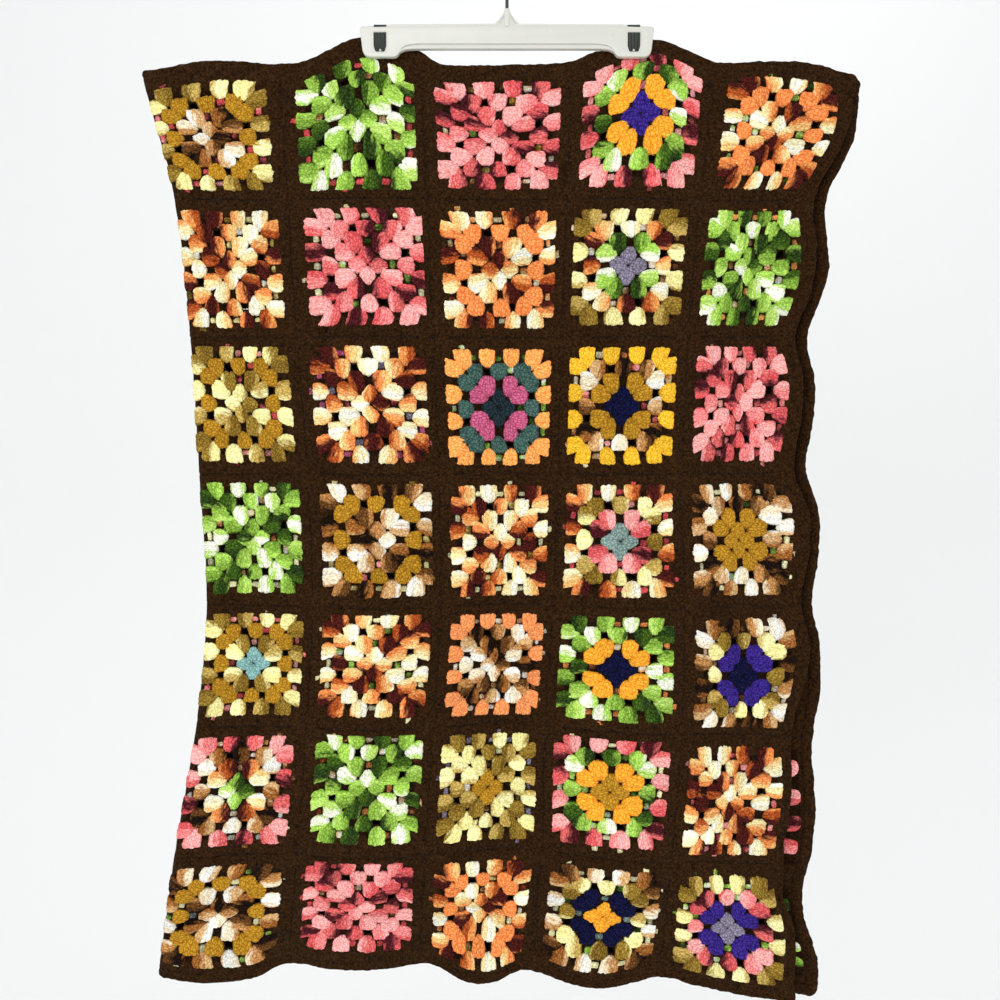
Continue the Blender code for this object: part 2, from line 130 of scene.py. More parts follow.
class Yarn(Enum):
    """The yarns: those that run through several colours, then those of one."""

    GREENS = ("g", ("#8fb349", "#b4da66", "#f2f3e4", "#c2e07a", "#9cc052", "#30461a", "#46641e"), 12.3)
    PINKS = ("p", ("#f8b6b2", "#f09694", "#de686a", "#521c22", "#e07472", "#f6b4b0"), 11.7)
    SUNSET = (
        "o",
        ("#e99656", "#f0ca88", "#f4ecc4", "#f2f0e2", "#f2e2ae", "#eaa45f", "#b65c2a", "#4c1b17", "#541e18"),
        11.7,
    )
    BARK = ("t", ("#c4935a", "#f0e3c8", "#f0efe8", "#d8b482", "#a56c34", "#20130c", "#6e4722"), 12.3)
    MEADOW = ("m", ("#f8f3bc", "#f3ebaa", "#a08436", "#8a6e2a", "#c8ae62"), 12.0)
    CREAM = ("c", ("#f6f3c6",), 1.0)
    MUSTARD = ("u", ("#b98d2a",), 1.0)
    YELLOW = ("y", ("#f2c43a",), 1.0)
    GOLD = ("a", ("#f6b23a",), 1.0)
    ORANGE = ("h", ("#f29c5a",), 1.0)
    PEACH = ("f", ("#f3a469",), 1.0)
    APRICOT = ("l", ("#f8b264",), 1.0)
    CORAL = ("k", ("#ee6468",), 1.0)
    ROSE = ("r", ("#c8668a",), 1.0)
    LAVENDER = ("v", ("#8f8799",), 1.0)
    PURPLE = ("w", ("#402c88",), 1.0)
    NAVY = ("n", ("#14163c",), 1.0)
    TEAL = ("e", ("#4c6a62",), 1.0)
    PETROL = ("x", ("#26343a",), 1.0)
    SKY = ("b", ("#94bcb8",), 1.0)
    MIST = ("i", ("#8ea29c",), 1.0)
    BROWN = ("d", ("#301d0b",), 1.0)

    def __init__(self, letter: str, colours: tuple[str, ...], run: float) -> None:
        """Names what each yarn's line gives.

        Args:
            letter: its letter in the charts.
            colours: its colours, in the order that they run.
            run: how many stitches they all last.
        """
        self.letter = letter
        self.colours = colours
        self.run = run

    @property
    def first_colour(self) -> Colour:
        """The yarn's first colour, in linear light."""
        return linear(self.colours[0])

    def along(self, stitches: np.ndarray, start: np.ndarray) -> np.ndarray:
        """The yarn's colour at places along it.

        Each colour holds for an even share and blends into the next over the last quarter of it.

        Args:
            stitches: how many stitches along the yarn each place lies.
            start: where in its colours the yarn starts, in stitches.

        Returns:
            Linear colours, with three channels as the last axis.
        """
        colours = np.array([linear(code) for code in self.colours])
        place = (stitches + start) * len(colours) / self.run
        whole = np.floor(place).astype(int)
        blend = np.clip((place - whole - 0.75) / 0.25, 0, 1)[..., None]
        return colours[whole % len(colours)] * (1 - blend) + colours[(whole + 1) % len(colours)] * blend


YARN_OF = {yarn.letter: yarn for yarn in Yarn}

# The yarns of each square's four coloured rounds from its centre outwards, one line to a row of squares.
FRONT_CHART = (
    "ttum gggg pppp wagp ooho",
    "oooo pppp ooho vgom gggg",
    "mmum oooo xrel nuty pppp",
    "gggg ttut oooo ipmo uutt",
    "bmum oooo tttf nagg nwmt",
    "gotp gggg ummm uagp oooo",
    "ttut pppp ooho anmt vwpm",
)

BACK_CHART = (
    "gggg pppp cgmt tttk ppkp",
    "ottl tttt oooo gggc cmtm",
    "pppp pppo gggg ppvr ppkp",
    "gggc kkpk gmmc pppm oooc",
    "cttt oooh tttt gggc ppkp",
    "pppp gggc vtmv ohto cttt",
    "gggg cigc otmo tttk gicg",
)

# The stitch of its yarn's colours that each round starts at, from a for the first, in both layers.
START_CHART = (
    "feaf jieh dhgj aael cfaj",
    "kkig edbk jjab aiai hfaf",
    "ceag gilj aaaa aafa hegj",
    "ldka lkac cbia aiga aafa",
    "aeaf cfcj hhia aadj aafg",
    "hhgb dgbd accf aahi dkcb",
    "ibaa glge gdal aakk aagi",
)


@dataclass(frozen=True)
class YarnFinish:
    """Acrylic yarn: matt and fuzzy, with a twist in each strand, and painted shade in the small spaces
    between its stitches.

    The stitches are cells about 2.5 mm wide, slanted and longer than wide, and each ply's twist is a wave.
    """

    name: str = "acrylic_yarn"
    roughness: float = 0.95
    specular: float = 0.04
    sheen: float = 0.015
    sheen_roughness: float = 0.5
    fuzz: float = 2.2 * MM
    twist: float = 1.6 * MM
    twist_share: float = 0.35
    stitch: float = 2.5 * MM
    stitch_share: float = 2.2
    slant: float = math.radians(14)
    stretch: float = 0.55
    bend: float = 0.9
    seam_width: float = 0.22
    seam_shade: tuple[float, float] = (0.78, 0.18)
    crest: float = 1.1
    mottle: tuple[float, float] = (0.7, 1.3)
    hole_pitch: float = 3.4 * MM
    hole_edges: tuple[float, float] = (0.1, 0.34)
    hole_shade: float = 0.4
    fuzz_highlight: float = 0.01
    fuzz_highlight_edges: tuple[float, float] = (0.6, 0.75)
    relief: float = 0.8 * MM

    def material(self) -> bpy.types.Material:
        """Builds the material from the pieces' colour attribute and their stitches UV map, in metres.

        The colour carries painted shade where a stitch meets the next and in the small holes, with the
        stitches' crests painted a little lighter, is mottled by the fuzz, and has small pale painted
        highlights on the fuzz added.
        The bump is the stitches' height plus the plies' and the fuzz's.

        Returns:
            The material.
        """
        made, tree, shader = new_material(self.name)
        node = partial(add_node, tree)
        colour = node("Attribute", "Color", attribute_name="colour")
        flat = node("UVMap", "UV", uv_map="stitches")
        space = node("TexCoord", "Object")
        fuzz = node(
            "TexNoise", "Fac", {"Vector": space, "Scale": 1 / self.fuzz, "Detail": 3.0, "Roughness": 0.65}
        )

        bent = node("TexNoise", "Color", {"Vector": flat, "Scale": 0.4 / self.stitch, "Detail": 1.0})
        swerve = node("VectorMath", "Vector", {0: bent, "Scale": self.bend * self.stitch}, operation="SCALE")
        loose = node("VectorMath", "Vector", {0: flat, 1: swerve}, operation="ADD")
        slanted = {"Scale": (1.0, self.stretch, 1.0), "Rotation": (0, 0, self.slant)}
        loops = node("Mapping", "Vector", {"Vector": loose, **slanted})
        cells = {"Vector": loops, "Scale": 1 / self.stitch, "Randomness": 0.9}
        lumps = node("TexVoronoi", "Distance", cells, feature="DISTANCE_TO_EDGE")
        seams = node("MapRange", "Result", {"Value": lumps, "From Max": self.seam_width})
        spots = {"Vector": loose, "Scale": 1 / self.hole_pitch, "Randomness": 1.0}
        holes = node("TexVoronoi", "Distance", spots)
        low, high = self.hole_edges
        open_to_shut = {"From Min": low, "From Max": high, "To Min": self.hole_shade, "To Max": 1.0}
        dots = node("MapRange", "Result", {"Value": holes, **open_to_shut})
        low, high = self.mottle
        thin_to_thick = {"From Min": 0.3, "From Max": 0.7, "To Min": low, "To Max": high}
        mottle = node("MapRange", "Result", {"Value": fuzz, **thin_to_thick})

        # Painted shade: darker in the seams and holes between the stitches, a little lighter on their crests.
        deep = node("Math", "Value", {0: seams, 1: dots}, operation="MULTIPLY")
        scale, lift = self.seam_shade
        tints = {0: colour, 1: (scale,) * 3, 2: (lift,) * 3}
        seam_colour = node("VectorMath", "Vector", tints, operation="MULTIPLY_ADD")
        ends = {6: seam_colour, 7: (self.crest, self.crest, self.crest, 1)}
        shade = node("Mix", 2, {"Factor": deep, **ends}, data_type="RGBA")
        shaded = node("VectorMath", "Vector", {0: colour, 1: shade}, operation="MULTIPLY")
        # This keeps the painted shade, mottled by the fuzz's random tone.
        worn = node("VectorMath", "Vector", {0: shaded, "Scale": mottle}, operation="SCALE")
        # Painted highlight: small pale specks on the fuzz, where its fibres catch the light.
        specks = node("TexNoise", "Fac", {"Vector": space, "Scale": 0.7 / self.fuzz, "Detail": 2.0})
        low, high = self.fuzz_highlight_edges
        none_to_full = {"From Min": low, "From Max": high, "To Max": self.fuzz_highlight}
        fuzz_highlight = node("MapRange", "Result", {"Value": specks, **none_to_full})
        dyed_and_shaded = node("VectorMath", "Vector", {0: worn, 1: fuzz_highlight}, operation="ADD")

        ply = {"Scale": 1 / (math.pi * self.twist), "Distortion": 3.0, "Detail": 2.0}
        twist = node("TexWave", "Fac", {"Vector": loops, **ply})
        plies = node("Math", "Value", {0: twist, 1: self.twist_share, 2: fuzz}, operation="MULTIPLY_ADD")
        strands = node("Math", "Value", {0: lumps, 1: self.stitch_share, 2: plies}, operation="MULTIPLY_ADD")
        bump = node("Bump", "Normal", {"Height": strands, "Distance": self.relief, "Strength": 0.8})
        plain = {
            "Roughness": self.roughness,
            "Specular IOR Level": self.specular,
            "Sheen Weight": self.sheen,
            "Sheen Roughness": self.sheen_roughness,
        }
        feed(tree, shader, {"Base Color": dyed_and_shaded, "Normal": bump, **plain})
        return made


@dataclass(frozen=True)
class HardFinish:
    """A hard surface with a fine grain, and patches where it is rubbed or tarnished.

    The patches darken the colour by up to worn and change the roughness between two limits.
    """

    name: str
    colour: str
    roughness: float
    gloss: tuple[float, float]
    patch: float
    worn: float
    grain: float
    grain_detail: float
    stretch: tuple[float, float, float]
    grain_depth: float
    grain_strength: float
    metallic: float
    subsurface: float

    def material(self) -> bpy.types.Material:
        """Builds the material on Object coordinates.

        Returns:
            The material.
        """
        made, tree, shader = new_material(self.name)
        node = partial(add_node, tree)
        space = node("TexCoord", "Object")
        patches = node("TexNoise", "Fac", {"Vector": space, "Scale": 1 / self.patch, "Detail": 3.0})
        low, high = (self.roughness + change for change in self.gloss)
        gloss = node("MapRange", "Result", {"Value": patches, "To Min": low, "To Max": high})
        fresh = linear(self.colour)
        ends = {6: (*fresh, 1), 7: (*(self.worn * channel for channel in fresh), 1)}
        tint = node("Mix", 2, {"Factor": patches, **ends}, data_type="RGBA")
        drawn = node("Mapping", "Vector", {"Vector": space, "Scale": self.stretch})
        fine = {"Scale": 1 / self.grain, "Detail": self.grain_detail}
        grain = node("TexNoise", "Fac", {"Vector": drawn, **fine})
        depth = {"Distance": self.grain_depth, "Strength": self.grain_strength}
        bump = node("Bump", "Normal", {"Height": grain, **depth})
        feed(tree, shader, {"Base Color": tint, "Roughness": gloss, "Normal": bump})
        glow = {"Subsurface Weight": self.subsurface, "Subsurface Scale": 2 * MM}
        feed(tree, shader, {"Metallic": self.metallic, **glow})
        return made


@dataclass(frozen=True)
class PlasticFinish(HardFinish):
    """Moulded plastic with a soft gloss, a faint grain and rubbed patches; light enters it a little."""

    colour: str = "#c8c8bf"
    roughness: float = 0.3
    gloss: tuple[float, float] = (-0.08, 0.14)
    patch: float = 50 / 3 * MM
    worn: float = 0.93
    grain: float = 5 / 9 * MM
    grain_detail: float = 1.0
    stretch: tuple[float, float, float] = (1.0, 1.0, 1.0)
    grain_depth: float = 0.04 * MM
    grain_strength: float = 0.4
    metallic: float = 0.0
    subsurface: float = 0.05


@dataclass(frozen=True)
class SteelFinish(HardFinish):
    """Drawn or rolled steel, with fine lines along it and a little tarnish."""

    colour: str = "#b9b9b6"
    roughness: float = 0.28
    gloss: tuple[float, float] = (-0.1, 0.2)
    patch: float = 100 / 9 * MM
    worn: float = 0.7
    grain: float = 0.4 * MM
    grain_detail: float = 2.0
    stretch: tuple[float, float, float] = (1.0, 1.0, 0.05)
    grain_depth: float = 0.03 * MM
    grain_strength: float = 0.5
    metallic: float = 1.0
    subsurface: float = 0.0


# ---- how the blanket hangs ----


def smooth_step(low: float, high: float, value: np.ndarray) -> np.ndarray:
    """Rises from 0 at low to 1 at high as 3 t squared minus 2 t cubed, t being the share of the way.

    Args:
        low: where the rise starts.
        high: where it ends; below low, it falls instead.
        value: the places.

    Returns:
        The heights, from 0 to 1.
    """
    t = np.clip((value - low) / (high - low), 0.0, 1.0)
    return t * t * (3.0 - 2.0 * t)


def through_knots(knots: np.ndarray, t: np.ndarray) -> np.ndarray:
    """Follows a Catmull-Rom curve through knots at t = 0, 1, 2 and so on, and runs straight past both ends.

    Args:
        knots: one row for each knot, and one column or a column for each t.
        t: the places.

    Returns:
        The curve's value at each t.
    """
    knots = np.broadcast_to(knots, (len(knots), len(t)))
    padded = np.vstack([2 * knots[:1] - knots[1:2], knots, 2 * knots[-1:] - knots[-2:-1]])
    inside = np.clip(t, 0, len(knots) - 1)
    start = np.minimum(inside.astype(int), len(knots) - 2)
    f = inside - start
    a, b, c, d = (np.take_along_axis(padded, start[None] + k, axis=0)[0] for k in range(4))
    curve = 0.5 * (2 * b + (c - a) * f + (2 * a - 5 * b + 4 * c - d) * f**2 + (3 * b - a - 3 * c + d) * f**3)
    slope = np.where(t < 0, knots[1] - knots[0], knots[-1] - knots[-2])
    return curve + (t - inside) * slope


class Seam(NamedTuple):
    """One line of joins across the blanket, in millimetres.

    It gives the line's height at the fold, in the middle and at the free edge, the places of the fold, the
    four joins and both free edges, and how deep its two sets of upright folds are.
    """

    z_fold: float
    z_middle: float
    z_free: float
    fold: float
    join_1: float
    join_2: float
    join_3: float
    join_4: float
    front: float
    back: float
    wave: float
    sway: float


SEAMS = (
    Seam(-143, -145, -146, -377, -235, -89, 68, 216, 354, 363, 0, 0),
    Seam(-268, -268, -270, -348, -230, -84, 63, 203, 316, 331, 4, 0),
    Seam(-411, -411, -411, -336, -223, -78, 59, 192, 300, 315, 8, 2),
    Seam(-557, -557, -556, -331, -213, -73, 56, 187, 301, 317, 10, 4),
    Seam(-700, -701, -700, -327, -210, -72, 52, 192, 313, 327, 10, 6),
    Seam(-837, -836, -846, -342, -219, -81, 44, 191, 307, 329, 9, 7),
    Seam(-985, -980, -992, -370, -233, -91, 40, 182, 299, 321, 8, 7),
    Seam(-1114, -1101, -1147, -390, -245, -96, 26, 170, 324, 343, 8, 6),
)

# How far the edges lie off their even scallops, in millimetres at each quarter of a square. The top and
# bottom edges are shifted upwards, from the fold to the free edge, and the free ones outwards, from the top.
TOP_SHIFTS = (-5, -3, 0, 4, 3, 1, 0, 0, 0, -2, -1, 2, 6, 4, 0, 0, 3, 5, 3, 2, -3)
BOTTOM_SHIFTS = (3, 0, 1, -7, 1, 0, 3, 2, 3, 2, 1, -9, -11, -6, 2, 5, 10, 11, 11, 5, 2)
FREE_SHIFTS = (
    *(0, 0, -2, -3, -1, 1, 1, 2, 0, 3, -2, -1, 1, 7, 0),
    *(-1, 0, 3, -2, 0, 4, 4, 2, 6, 10, 1, -9, -5, -3),
)

# How far each front square lies off its even place, in millimetres to the right and down.
SLIDES = (
    ((-5, 2), (5, 5), (2, -1), (0, -2), (8, -4)),
    ((-2, 2), (9, -1), (2, 2), (-4, -1), (3, -2)),
    ((-3, -3), (3, -2), (0, 2), (-3, 0), (4, -3)),
    ((0, -4), (3, -3), (1, 2), (-1, -1), (3, 0)),
    ((1, -3), (1, -7), (2, 0), (-1, -2), (7, 6)),
    ((-3, -1), (2, -9), (1, -1), (-2, -5), (1, 5)),
    ((-6, 3), (-1, -8), (1, 6), (3, 2), (4, 8)),
)


@dataclass(frozen=True)
class Drape:
    """The hanging blanket's middle surface.

    u counts squares from the join that the fold runs beside, to the front free edge at 5 and the back one at
    -5, and v counts them from the top edge down. The edging lies past these. The seam table gives the joins'
    places, the shift tables the edges' unevenness and SLIDES that of the squares in between. Fields in
    squares have no unit and the others are in metres.
    """

    square: float = 142 * MM
    columns: int = 5
    rows: int = 7
    edging: float = 10 * MM
    cloth_y: float = 8.5 * MM
    fold_radius: float = 8 * MM
    fold_shift: float = 7 * MM
    gripped: float = 2.5 * MM
    grip_radius: float = 28 * MM
    grip_fade: float = 130 * MM
    grip_z: float = -109.25 * MM
    clip_x: float = 131 * MM
    clip_lift: float = 28 * MM
    clip_lift_peaks: tuple[float, float] = (-146 * MM, 156 * MM)
    clip_lift_outwards: float = 50 * MM
    clip_lift_inwards: float = 62 * MM
    clip_lift_fade: float = 1.5
    side_scallop: float = 12 * MM
    top_scallop: float = 6 * MM
    bottom_scallops: tuple[float, ...] = (17 * MM, 6 * MM, 30 * MM, 18 * MM, 12 * MM)
    scallop_depth: float = 0.4
    scallop_sag: float = 0.22
    shift_depth: float = 0.7
    even_free_edge: tuple[float, float] = (6.1, 6.4)
    free_curl: float = 8 * MM
    curl_from: tuple[float, float] = (4.4, 5.4)
    curl_width: tuple[float, float] = (-0.1, 0.07)
    puff: float = 1.5 * MM
    sway_length: float = 430 * MM
    sway_start: float = -90 * MM
    pressed: float = 0.2
    draw_up: float = 0.1
    draw_width: float = 75 * MM
    draw_rise: tuple[float, float] = (0.3, 0.5)
    back_sag: tuple[float, float] = (0.05, 0.14)
    back_margin: float = 0.8
    back_spread: float = 0.07
    spread_from: tuple[float, float] = (4.5, 5.5)
    spread_across: tuple[float, float] = (-3.0, -4.2)
    spread_margin: float = 0.15
    slide_band: float = 0.14

    def x_and_turn(self, seam: Seam, u: np.ndarray, v: np.ndarray) -> tuple[np.ndarray, np.ndarray]:
        """Works out how far across points of the middle surface lie.

        The cloth runs along x from its fold, a half turn of the fold's radius, through the seam's joins. Its
        free edges have a squared sine's scallops and their shifts, and the front one curls in low down.

        Args:
            seam: the seam table's values at each point.
            u: squares across, as a flat array.
            v: squares down, as many.

        Returns:
            Each point's x, and its angle round the fold.
        """
        spare = (math.pi / 2 - 1) * self.fold_radius
        back_step = (seam.back - seam.fold) / self.columns
        joins = (seam.join_1, seam.join_2, seam.join_3, seam.join_4, seam.front)
        knots = [-(back_step * k + spare) for k in range(self.columns, 0, -1)]
        knots += [np.full_like(v, -self.fold_shift)]
        knots += [join - seam.fold + spare for join in joins]
        along = through_knots(np.array(knots), u + self.columns)
        turn = np.clip(along / self.fold_radius, -math.pi / 2, math.pi / 2)
        straight = np.maximum(np.abs(along) - self.fold_radius * math.pi / 2, 0.0)
        x = seam.fold + self.fold_radius * (1 - np.cos(turn)) + straight

        near_side = smooth_step(self.columns - self.scallop_depth, self.columns, np.abs(u))
        sag = self.scallop_sag * (np.clip(v, 0, self.rows) / self.rows) ** 3 * (u < 0)
        x += self.side_scallop * near_side * np.sin(np.pi * np.clip(v - sag, 0, self.rows)) ** 2
        low_front = smooth_step(*self.curl_from, v) * (u > 0)
        curled = smooth_step(self.columns + self.curl_width[0], self.columns + self.curl_width[1], u)
        even = low_front * smooth_step(*self.even_free_edge, v)
        x += self.shifted(FREE_SHIFTS, v) * near_side * (1 - even)
        x -= self.free_curl * curled * low_front
        return x, turn

    def height(self, seam: Seam, u: np.ndarray, v: np.ndarray, x: np.ndarray) -> np.ndarray:
        """Works out how high points of the middle surface hang.

        A seam is the parabola through its three heights. The top and bottom edges have a squared sine's
        scallops and their shifts, and the first row is drawn up towards a bell curve at each clip.

        Args:
            seam: the seam table's values at each point.
            u: squares across, as a flat array.
            v: squares down, as many.
            x: how far across they lie.

        Returns:
            Each point's z.
        """
        across = np.where(u >= 0, seam.front, seam.back) - seam.fold
        q = np.clip((x - seam.fold) / across, 0, 1)
        z = seam.z_fold * (1 - q) * (1 - 2 * q) + seam.z_free * q * (2 * q - 1)
        z += seam.z_middle * 4 * q * (1 - q)
        waves = np.sin(np.pi * np.clip(u, -self.columns, self.columns)) ** 2
        near_top = smooth_step(self.scallop_depth, 0, v)
        near_bottom = smooth_step(self.rows - self.scallop_depth, self.rows, v)
        column = np.clip(np.abs(u), 0, self.columns - 0.001).astype(int)
        z += waves * (self.top_scallop * near_top - np.take(self.bottom_scallops, column) * near_bottom)
        in_first_row = np.clip(1 - v, 0, 1) ** self.clip_lift_fade
        for peak in self.clip_lift_peaks:
            outwards = (x - peak) * math.copysign(1, peak)
            width = np.where(outwards > 0, self.clip_lift_outwards, self.clip_lift_inwards)
            z += self.clip_lift * in_first_row * np.exp(-((outwards / width) ** 2))
        at_bottom = smooth_step(self.rows - self.shift_depth, self.rows, v)
        z += self.shifted(TOP_SHIFTS, np.abs(u)) * smooth_step(self.shift_depth, 0, v)
        z += self.shifted(BOTTOM_SHIFTS, np.abs(u)) * at_bottom
        return z

    def place(self, u: np.ndarray, v: np.ndarray) -> tuple[np.ndarray, np.ndarray]:
        """Finds where points of the middle surface hang.

        The layers lie apart by the fold's width, less near the clips, which grip them. The cloth has soft
        upright folds, a cosine and a sine of x, and each square puffs out by squared sines.

        Args:
            u: squares across, as a flat array.
            v: squares down, as many.

        Returns:
            The points, three columns, and how far each is freed from the clips, from 0 to 1.
        """
        seam = Seam(*(through_knots(column[:, None], v) for column in np.array(SEAMS).T * MM))
        x, turn = self.x_and_turn(seam, u, v)
        z = self.height(seam, u, v, x)
        from_clip = np.hypot(np.abs(x) - self.clip_x, z - self.grip_z)
        freed = smooth_step(self.grip_radius, self.grip_fade, from_clip)
        apart = self.gripped + (self.fold_radius - self.gripped) * freed
        puffed = np.sin(np.pi * u) ** 2 * np.sin(np.pi * np.clip(v, 0, self.rows)) ** 2
        folds = -seam.wave * np.cos(np.pi * (x / self.clip_x - 1))
        folds += seam.sway * np.sin(2 * np.pi * (x - self.sway_start) / self.sway_length)
        y = self.cloth_y + folds * freed - np.sin(turn) * (apart + self.puff * freed * puffed)
        return np.column_stack([x, y, z]), freed

    @staticmethod
    def shifted(shifts: tuple[float, ...], place: np.ndarray) -> np.ndarray:
        """How far an edge is shifted at places along it, in metres.

        Args:
            shifts: its table, for each quarter of a square.
            place: the places, in squares.

        Returns:
            The shifts.
        """
        quarters = np.clip(4 * place, 0, len(shifts) - 1)
        return through_knots(np.array(shifts)[:, None] * MM, quarters)

    def slid(self, u: np.ndarray, v: np.ndarray) -> tuple[np.ndarray, np.ndarray]:
        """Slides the squares along the surface, whose edges stay where they are.

        Below each clip they are drawn up, most at the middle of the first row. The back layer's hang a
        little off the front's, so that one layer's open spaces show the other's yarn, and low down they are
        spread towards the free edge and follow its sag. Last come the front squares' own slides.

        Args:
            u: squares across, as a flat array.
            v: squares down, as many.

        Returns:
            Both, slid.
        """
        x = self.place(u, v)[0][:, 0]
        near = sum(np.exp(-(((x - peak) / self.draw_width) ** 2)) for peak in self.clip_lift_peaks)
        edge = self.edging / self.square
        rise, fall = self.draw_rise
        drawn = near * smooth_step(-edge, rise, v) * smooth_step(1.0, fall, v)
        margin, spread_margin = self.back_margin, self.spread_margin
        off_bottom = smooth_step(self.rows, self.rows - margin, v)
        inside = smooth_step(0, margin, v) * off_bottom
        behind = smooth_step(0, -margin, u) * smooth_step(-self.columns, -self.columns + margin, u) * inside
        sag = self.back_sag[0] + (self.back_sag[1] - self.back_sag[0]) * v / self.rows
        low_down = smooth_step(*self.spread_from, v) * smooth_step(*self.spread_across, u)
        outwards = low_down * smooth_step(-self.columns, -self.columns + spread_margin, u)
        lowered = low_down * self.scallop_sag * (v / self.rows) ** 3 * off_bottom
        across, down = self.slides(u, v)
        u = u - self.back_spread * outwards + across
        return u, v - self.draw_up * drawn + sag * behind + lowered + down

    def slides(self, u: np.ndarray, v: np.ndarray) -> tuple[np.ndarray, np.ndarray]:
        """How far the front's squares lie off their even places.

        A whole square moves as one, and the brown band round it, a smooth step wide, takes the rest up.

        Args:
            u: squares across, as a flat array.
            v: squares down, as many.

        Returns:
            The shares of a square to the right and down.
        """
        inside = (u > 0) & (u < self.columns) & (v > 0) & (v < self.rows)
        row = np.clip(v, 0, self.rows - 1).astype(int)
        column = np.clip(u, 0, self.columns - 1).astype(int)
        band = self.slide_band
        for place in (u % 1, v % 1):
            inside = inside * smooth_step(0, band, place) * smooth_step(1, 1 - band, place)
        across, down = (np.array(SLIDES)[row, column] * inside[:, None] * MM / self.square).T
        return across, down

    def raise_points(
        self, u: np.ndarray, v: np.ndarray, height: np.ndarray | float, relief: np.ndarray | float = 0.0
    ) -> np.ndarray:
        """Lifts points off the middle surface, along its outward normal.

        The normal is minus the cross product of the steps that small moves in u and v make. The relief
        shrinks near the clips to its pressed share, because they press the cloth flat.

        Args:
            u: squares across, in an array of any shape.
            v: squares down, in one of the same shape.
            height: how far out each point lies, or all of them.
            relief: what it stands out further, where nothing presses it.

        Returns:
            The points, with three coordinates as the last axis.
        """
        step = 0.01
        flat_u, flat_v = self.slid(u.ravel(), v.ravel())
        points, freed = self.place(flat_u, flat_v)
        over = self.place(flat_u + step, flat_v)[0] - self.place(flat_u - step, flat_v)[0]
        down = self.place(flat_u, flat_v + step)[0] - self.place(flat_u, flat_v - step)[0]
        normal = -np.cross(over, down)
        normal /= np.linalg.norm(normal, axis=1, keepdims=True)
        height, relief = (np.broadcast_to(part, u.shape).ravel() for part in (height, relief))
        kept = self.pressed + (1 - self.pressed) * freed
        points += normal * (height + relief * kept)[:, None]
        return points.reshape(*u.shape, 3)


# ---- meshes ----


def joined_rings(rows: int, columns: int) -> np.ndarray:
    """Joins closed rings of points, each to the next, with four-cornered faces.

    The points are numbered ring by ring, and a ring's last point is joined to its first.

    Args:
        rows: how many rings there are.
        columns: how many points there are to a ring.

    Returns:
        The faces' vertex numbers, as an array of rings less one, points and four corners.
    """
    number = np.arange(rows * columns).reshape(rows, columns)
    onward = np.roll(number, -1, axis=1)
    return np.stack([number[:-1], onward[:-1], onward[1:], number[1:]], axis=-1)


def joined_grid(rows: int, columns: int) -> tuple[np.ndarray, np.ndarray]:
    """Joins an open grid of points with four-cornered faces.

    Args:
        rows: how many rows there are.
        columns: how many points there are to a row.

    Returns:
        The faces' vertex numbers, and those of the grid's rim in order.
    """
    number = np.arange(rows * columns).reshape(rows, columns)
    quads = np.stack([number[:-1, :-1], number[:-1, 1:], number[1:, 1:], number[1:, :-1]], axis=-1)
    rim = np.concatenate([number[0, :-1], number[:-1, -1], number[-1, :0:-1], number[:0:-1, 0]])
    return quads.reshape(-1, 4), rim


def repeated_faces(blocks: tuple[np.ndarray, ...], count: int, size: int) -> list[np.ndarray]:
    """Repeats a shape's faces for copies of it, whose points follow each other.

    Args:
        blocks: its faces, as arrays of vertex numbers.
        count: how many copies there are.
        size: how many points there are to a copy.

    Returns:
        The faces of all the copies, in as many arrays.
    """
    offsets = (np.arange(count) * size)[:, None, None]
    return [(block[None] + offsets).reshape(-1, block.shape[1]) for block in blocks]


def link_object(name: str, data: bpy.types.ID) -> bpy.types.Object:
    """Puts a mesh, light or camera into an object in the scene, at the origin.

    Args:
        name: the object's name.
        data: what it shows.

    Returns:
        The object.
    """
    made = bpy.data.objects.new(name, data)
    bpy.context.scene.collection.objects.link(made)
    return made


def add_piece(
    name: str,
    points: np.ndarray,
    faces: list[np.ndarray],
    colours: np.ndarray,
    flat: np.ndarray,
    finish: bpy.types.Material,
) -> bpy.types.Object:
    """Puts a worked-out surface into a smooth-shaded piece.

    Args:
        name: the piece's name.
        points: the vertices, three columns.
        faces: arrays of vertex numbers, one for each count of corners.
        colours: a linear colour for each vertex.
        flat: each vertex's place on the flat cloth, two columns in metres, for the UV map.
        finish: the piece's material.

    Returns:
        The new object, at the origin.
    """
    mesh = bpy.data.meshes.new(name)
    corners = np.concatenate([block.ravel() for block in faces])
    sizes = np.concatenate([np.full(len(block), block.shape[1]) for block in faces])
    mesh.vertices.add(len(points))
    mesh.vertices.foreach_set("co", points.astype(np.float32).ravel())
    mesh.loops.add(len(corners))
    mesh.loops.foreach_set("vertex_index", corners.astype(np.int32))
    mesh.polygons.add(len(sizes))
    mesh.polygons.foreach_set("loop_start", np.concatenate([[0], np.cumsum(sizes)[:-1]]).astype(np.int32))
    mesh.update(calc_edges=True)
    mesh.validate()
    dye = mesh.color_attributes.new("colour", "FLOAT_COLOR", "POINT")
    opaque = np.column_stack([colours, np.ones(len(colours))])
    dye.data.foreach_set("color", opaque.astype(np.float32).ravel())
    chart = mesh.uv_layers.new(name="stitches")
    chart.data.foreach_set("uv", flat[corners].astype(np.float32).ravel())
    mesh.shade_smooth()
    mesh.materials.append(finish)
    log.info("%s: %d points, %d faces", name, len(points), len(sizes))
    return link_object(name, mesh)


# ---- the crochet ----


